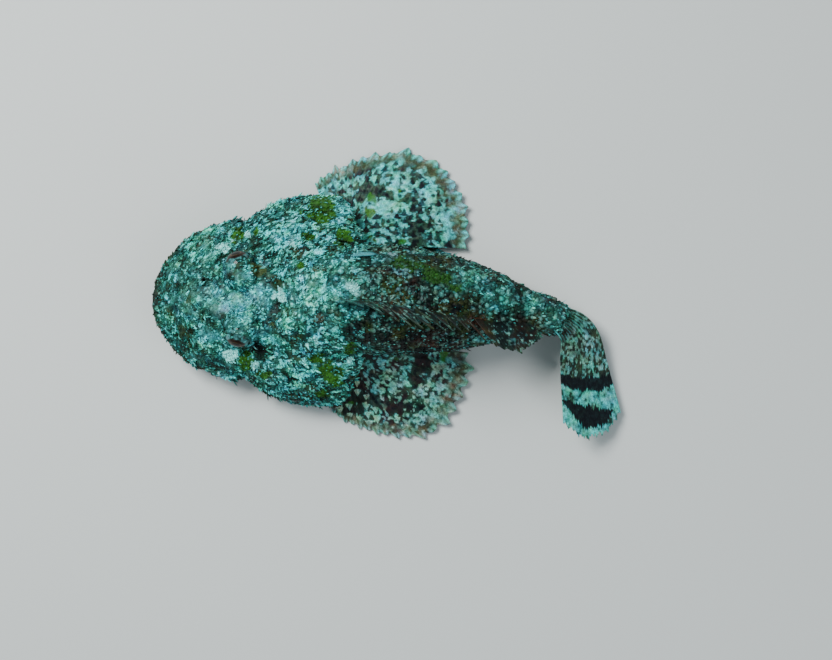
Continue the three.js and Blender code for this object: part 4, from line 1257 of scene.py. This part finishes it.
def eye_paint(points, centre, look):
    local = (points - centre) / EYE_RADIUS
    level = unit(np.cross([0, 0, 1.0], look))
    side, rise = local @ level, local @ np.cross(look, level)
    out = np.where(local @ look > 0, np.hypot(side, rise * 1.12), 1.0)
    swing = np.arctan2(rise, side)
    streak = soft_noise(np.stack([np.cos(swing) * 9, np.sin(swing) * 9, out * 3], -1), 1.0, 511)
    colour = np.tile(linear(30, 18, 13), (len(points), 1))
    colour = blend(colour, linear(66, 50, 30), smoothstep(streak, 0.0, 0.8) * 0.5)
    colour = blend(colour, linear(24, 18, 20), smoothstep(-streak, -0.1, 0.7) * 0.7)
    colour = blend(colour, linear(96, 82, 48), mound(out - 0.33, 0.025) * 0.6)
    outer = smoothstep(out + 0.04 * streak, 0.56, 0.66)
    mottle = rough_noise(points, 2.2, 521, 2)
    colour = blend(colour, ramp(0.4 + 0.3 * mottle, TONES), outer)
    colour = blend(colour, MINT, 0.5 * outer * flecks(points, 1.2, 523, 0.35))
    colour = blend(colour, ROSE * 0.8, 0.5 * outer * smoothstep(mottle, -0.5, 0.4))
    return blend(colour, linear(3, 5, 6), smoothstep(0.33 - out, 0, 0.04))


for name, side in SIDES.items():
    centre, look = eye_frame(side)
    eye = ball(f"eyeball_{name}", centre, look, (EYE_RADIUS,) * 3, 128)
    eye.data.shade_smooth()
    paint(eye, eye_paint(points_of(eye), centre, look))
    dress(eye, eye_material, "eye", f"eye_{name}")

# The coat: scales, grains, flaps and thorns rooted in the skin, as joined meshes of small closed shapes


def bud(sides, rings, flat=1.0, bend=0.0):
    """A small shape of rings (height, radius) with a point on top at height 1, bent over towards +Y.

    Returns its points, faces, places on the unwrap and shares of the way from root to tip.
    """
    height, radius = np.array(rings).T[..., None]
    k = np.arange(sides)
    across, back = np.cos(TAU * (k + 0.5) / sides), np.sin(TAU * (k + 0.5) / sides)
    lean = bend * np.maximum(height, 0) ** 2
    wall = np.stack([radius * across, flat * radius * back + lean, height + 0 * across], -1)
    points = np.concatenate([wall.reshape(-1, 3), [(0, bend, 1.0)]])
    inward = 1 - np.arange(len(rings))[:, None] / len(rings)
    unwrap = np.concatenate([np.stack([across * inward, back * inward], -1).reshape(-1, 2), [(0, 0)]])
    quads = tube_faces(len(rings), sides)[:-sides]
    last = (len(rings) - 1) * sides
    cap = np.stack([last + k, last + (k + 1) % sides, 0 * k + len(points) - 1], -1)
    base = np.stack([0 * k, k + 1, k], -1)[1:-1]
    faces = np.concatenate([quads[:, [0, 1, 2, 0, 2, 3]].reshape(-1, 3), cap, base])
    return points, faces, unwrap, np.clip(points[:, 2], 0, 1)


def scale_shape(rim=9):
    """A rounded plate whose hind edge, towards +Y, stands off the skin."""
    k = np.arange(rim)
    across, back = np.sin(TAU * k / rim), np.cos(TAU * k / rim)
    edge = np.stack([0.55 * across, 0.6 * back, 0.06 + 0.09 * back], -1)
    under = np.stack([0.5 * across, 0.55 * back, 0 * back - 0.25], -1)
    points = np.concatenate([[(0, 0.05, 0.17)], edge, under])
    a, b = 1 + k, 1 + (k + 1) % rim
    around = np.stack([0 * k, b, a, a, b, b + rim, a, b + rim, a + rim], -1).reshape(-1, 3)
    base = np.stack([0 * k + 1 + rim, a + rim, a + rim + 1], -1)[1:-1]
    flat = np.stack([across, back], -1)
    unwrap = np.concatenate([[(0, 0)], 0.75 * flat, flat])
    return points, np.concatenate([around, base]), unwrap, np.clip(points[:, 1] / 0.6, 0, 1) ** 2


GRAIN = bud(3, [(-0.3, 0.5), (0.55, 0.34)], 1.0, 0.5)
LEAF_FLAP = bud(4, [(-0.25, 0.28), (0.35, 0.5), (0.75, 0.4)], 0.3, 0.6)
TASSEL = bud(4, [(-0.2, 0.3), (0.4, 0.26), (0.8, 0.18)], 0.7, 0.4)
THORN = bud(7, [(-0.35, 0.6), (0.12, 0.42), (0.55, 0.2)], 1.0, 0.2)
SCALE = scale_shape()


def grow(name, shape, roots, facing, length, width, lean, turn, own, tips):
    """One mesh of many copies of a small shape, each leaning back along the body from its root."""
    template, faces, unwrap, share = shape
    s, y, z = unplace(roots)
    direction = heading(s)
    tailward = np.stack([np.cos(direction), np.sin(direction), np.zeros(len(s))], -1)
    tailward = unit(tailward - facing * (tailward * facing).sum(-1)[:, None])
    sideways = np.cross(tailward, facing)
    cosine, sine = np.cos(turn)[:, None], np.sin(turn)[:, None]
    tailward, sideways = tailward * cosine + sideways * sine, sideways * cosine - tailward * sine
    cosine, sine = np.cos(lean)[:, None], np.sin(lean)[:, None]
    stand, lie = facing * cosine + tailward * sine, tailward * cosine - facing * sine
    points = roots[:, None] + sideways[:, None] * (template[:, 0] * width[:, None])[..., None]
    points += lie[:, None] * (template[:, 1] * width[:, None])[..., None]
    points += stand[:, None] * (template[:, 2] * length[:, None])[..., None]
    points[..., 2] = np.maximum(points[..., 2], 0.15)
    every = (faces + np.arange(len(roots))[:, None, None] * len(template)).reshape(-1, 3)
    thing = new_object(name, points.reshape(-1, 3), every)
    paint(thing, lerp(own[:, None], tips[:, None], share[:, None]).reshape(-1, 3))
    around = (np.arctan2(y, z - widest_height(s)) / TAU) % 1.0
    uv = np.stack([s / SPINE_REACH, around], -1)[:, None] + PATCH_HALF * unwrap
    layer = thing.data.uv_layers.new(name="OFBake")
    layer.data.foreach_set("uv", uv.reshape(-1, 2)[every.ravel()].astype(np.float32).ravel())
    dress(thing, skin_material, "skin")
    return thing


skin.data.calc_loop_triangles()
skin_triangles = np.empty(len(skin.data.loop_triangles) * 3, np.int32)
skin.data.loop_triangles.foreach_get("vertices", skin_triangles)
skin_triangles = skin_triangles.reshape(-1, 3)
skin_points = points_of(skin)
skin_normals = normals_of(skin)
skin_corners = skin_points[skin_triangles]
skin_edges = skin_corners[:, 1:] - skin_corners[:, :1]
skin_area = np.linalg.norm(np.cross(skin_edges[:, 0], skin_edges[:, 1]), axis=1)
skin_tree = KDTree(len(skin_points))
for i, point in enumerate(skin_points):
    skin_tree.insert(point, i)
skin_tree.balance()


def scatter(count, weight):
    """Random places on the skin, crowded by a weight at each of its points."""
    chance = skin_area * weight[skin_triangles].mean(1)
    picked = rng.choice(len(skin_triangles), count, p=chance / chance.sum())
    a, b = rng.random((2, count))
    flip = a + b > 1
    a[flip], b[flip] = 1 - a[flip], 1 - b[flip]
    share = np.stack([1 - a - b, a, b], -1)[..., None]
    facing = (skin_normals[skin_triangles[picked]] * share).sum(1)
    return (skin_corners[picked] * share).sum(1), unit(facing)


def settle(wanted):
    """The skin's own points and normals nearest to wanted ones."""
    nearest = np.array([skin_tree.find(point)[1] for point in wanted])
    return skin_points[nearest], skin_normals[nearest]


def grow_buds(name, shape, roots, facing, length, width, lean, turn, sparkle):
    """Small shapes in the skin's own colour, with brighter tips."""
    own = skin_paint(roots)
    grow(name, shape, roots, facing, length, width, lean, turn, own, coat_tips(own, sparkle))


def grow_grains(name, count, weight, low, high, sparkle):
    roots, facing = scatter(count, weight)
    size = rng.uniform(low, high, count) ** 2 / high
    width = size * rng.uniform(0.7, 1.2, count)
    lean, turn = rng.uniform(0.2, 0.9, count), rng.normal(0, 0.6, count)
    grow_buds(name, GRAIN, roots, facing, size, width, lean, turn, sparkle)


def grow_flaps(name, shape, roots, facing, length, width, lean, spread, sparkle):
    turn = rng.normal(0, spread, len(roots))
    grow_buds(name, shape, roots, facing, length, width, lean, turn, sparkle)


clear = (1 - smoothstep(calm, 0.2, 0.6)) * (1 - smoothstep(nostril_nearness(skin_points), 0, 0.2))
clumped = 0.25 + smoothstep(rough_noise(skin_points, 6, 65, 2), -0.5, 0.6) + 1.2 * skin_crowd
lit_side = smoothstep(skin_z, 2.5, 8) * clear * clumped
head_weight = (1 - smoothstep(skin_s, 100, 118)) * lit_side
trunk_weight = smoothstep(skin_s, 96, 112) * lit_side
grow_grains("grains_head_a", 17000, head_weight, 0.5, 1.1, 0.08)
grow_grains("grains_head_b", 11000, head_weight, 0.8, 1.7, 0.12)
grow_grains("grains_trunk", 13000, trunk_weight, 0.6, 1.5, 0.08)
count = 3400
roots, facing = scatter(count, head_weight + 0.7 * trunk_weight)
length, width = rng.uniform(1.4, 3.2, count), rng.uniform(0.8, 1.8, count)
grow_flaps("flaps_small", LEAF_FLAP, roots, facing, length, width, rng.uniform(0.7, 1.3, count), 0.6, 0.25)

# Scales in staggered rows over the trunk and the tail's stalk
scale_roots = []
for row, s in enumerate(np.arange(94, 217, SCALE_STEP)):
    girth = math.pi * (section_point(s, TAU / 4)[0] + (back_height(s) - belly_height(s)) / 2)
    around = max(int(girth / SCALE_STEP), 8)
    angle = TAU * (np.arange(around) + 0.5 * (row % 2)) / around
    scale_roots.append(place(s, *section_point(s, angle)))
roots, facing = settle(np.concatenate(scale_roots))
shown = (roots[:, 2] > 2.5) & (unplace(roots)[0] > 96)
roots, facing = roots[shown], facing[shown]
count = len(roots)
size = SCALE_STEP * rng.uniform(1.05, 1.3, count)
own = skin_paint(roots)
turn = rng.normal(0, 0.15, count)
scales = grow("scales", SCALE, roots, facing, size, size, np.zeros(count), turn, own, own)
scale_share = np.tile(SCALE[3], count)
scale_paint = skin_paint(points_of(scales)) * (0.7 + 0.6 * scale_share)[:, None]
bright = np.repeat((rng.random(count) < 0.1) * rng.uniform(0.2, 0.7, count), len(SCALE[3]))
paint(scales, blend(scale_paint, PEARL, bright * scale_share))

# Thorns and flaps at the places where the solids have them, by the surface they stand on. Each row is s,
# the other coordinate (y on the roof of the head, z on its sides), length and width.
ROOF_THORNS = [
    (24, 5, 3, 1.6), (40, 10.5, 3.2, 1.7), (47, 8.6, 3.2, 1.7), (58.5, 10.5, 3.6, 1.8),
    (66, 13.5, 4, 1.9), (74, 12.5, 4.4, 2), (81, 14.5, 4.4, 2), (72, 21, 4, 1.9), (84, 24, 4, 1.9),
]
CHEEK_THORNS = [(24, 24, 3, 1.8), (33, 25, 3, 1.8), (46, 28, 3.4, 1.8)]
COVER_THORNS = [(100, 36, 5, 1.7), (103, 31, 4, 1.5), (68, 30, 4, 1.8), (67, 22, 3.5, 1.7), (66, 14, 3, 1.6)]
ROOF_FLAPS = [(27, 7.6, 4, 1.7), (45, 14.5, 9, 2.2), (56, 15.5, 6, 1.8), (36, 24, 4.5, 1.8), (62, 27, 4.5, 2)]
CHEEK_FLAPS = [
    (10, 22, 3.5, 1.6), (20, 21, 4.5, 2), (31, 20, 5, 2.4), (42, 17, 4.5, 2.2), (50, 24, 4, 1.8),
    (3, 13, 3, 1.6), (10, 8, 4, 1.8), (19, 6.5, 4.5, 2), (29, 6, 4.5, 2), (40, 6, 4, 2),
]
COVER_FLAPS = [(60, 12, 4.2, 2), (76, 9, 4.2, 2), (88, 12, 4.2, 2), (98, 22, 4.2, 2)]
FLANK_SPOTS = (
    (120, 0.62), (133, 0.36), (146, 0.6), (158, 0.36), (170, 0.6), (184, 0.45), (196, 0.6), (206, 0.4),
)
FLANK_FLAPS = [(s, lerp(belly_height(s), back_height(s), share), 4, 1.7) for s, share in FLANK_SPOTS]

# Two broad pale flaps on the right side: the surface they stand on, s, the other coordinate, length and width
LEAVES = [(roof_place, 107, 23, 15, 5), (flank_place, 151, 24, 8, 4.4)]


def rooted(*groups):
    """Roots on the skin, normals, lengths and widths for lists of (surface, rows), on both sides."""
    wanted, sizes = [], []
    for surface, rows in groups:
        for s, other, length, width in rows:
            for side in (-1, 1):
                wanted.append(surface(side, s, other))
                sizes.append((length, width))
    roots, facing = settle(wanted)
    return roots, facing, *np.array(sizes).T


roots, facing, length, width = rooted(
    (roof_place, ROOF_THORNS), (flank_place, CHEEK_THORNS), (cover_place, COVER_THORNS)
)
grow_flaps("thorns", THORN, roots, facing, length, width, np.full(len(roots), 0.75), 0.05, 0.4)
roots, facing, length, width = rooted(
    (roof_place, ROOF_FLAPS), (flank_place, CHEEK_FLAPS), (cover_place, COVER_FLAPS),
    (flank_place, FLANK_FLAPS),
)
for number in range(5):
    count = len(roots)
    nudge = rng.normal(0, 0.5, (count, 3)) * (number > 0)
    rooting = settle(roots + nudge)
    short = rng.uniform(0.5, 0.9, count) if number else np.ones(count)
    shape, slim = (LEAF_FLAP, 0.9) if number < 2 else (TASSEL, 0.45)
    lean = rng.uniform(0.5, 1.1, count)
    grow_flaps(f"flaps_{number}", shape, *rooting, length * short, width * slim, lean, 0.5, 0.5)

leaf_roots, leaf_facing = settle([surface(1, s, other) for surface, s, other, _, _ in LEAVES])
leaf_length, leaf_width = np.array([row[3:] for row in LEAVES], float).T
leaf_colour = np.tile(linear(70, 150, 158), (len(LEAVES), 1))
grow(
    "leaves", LEAF_FLAP, leaf_roots, leaf_facing, leaf_length, leaf_width,
    np.full(len(LEAVES), 1.2), np.array([0.1, -0.4]), leaf_colour * 0.7, leaf_colour,
)
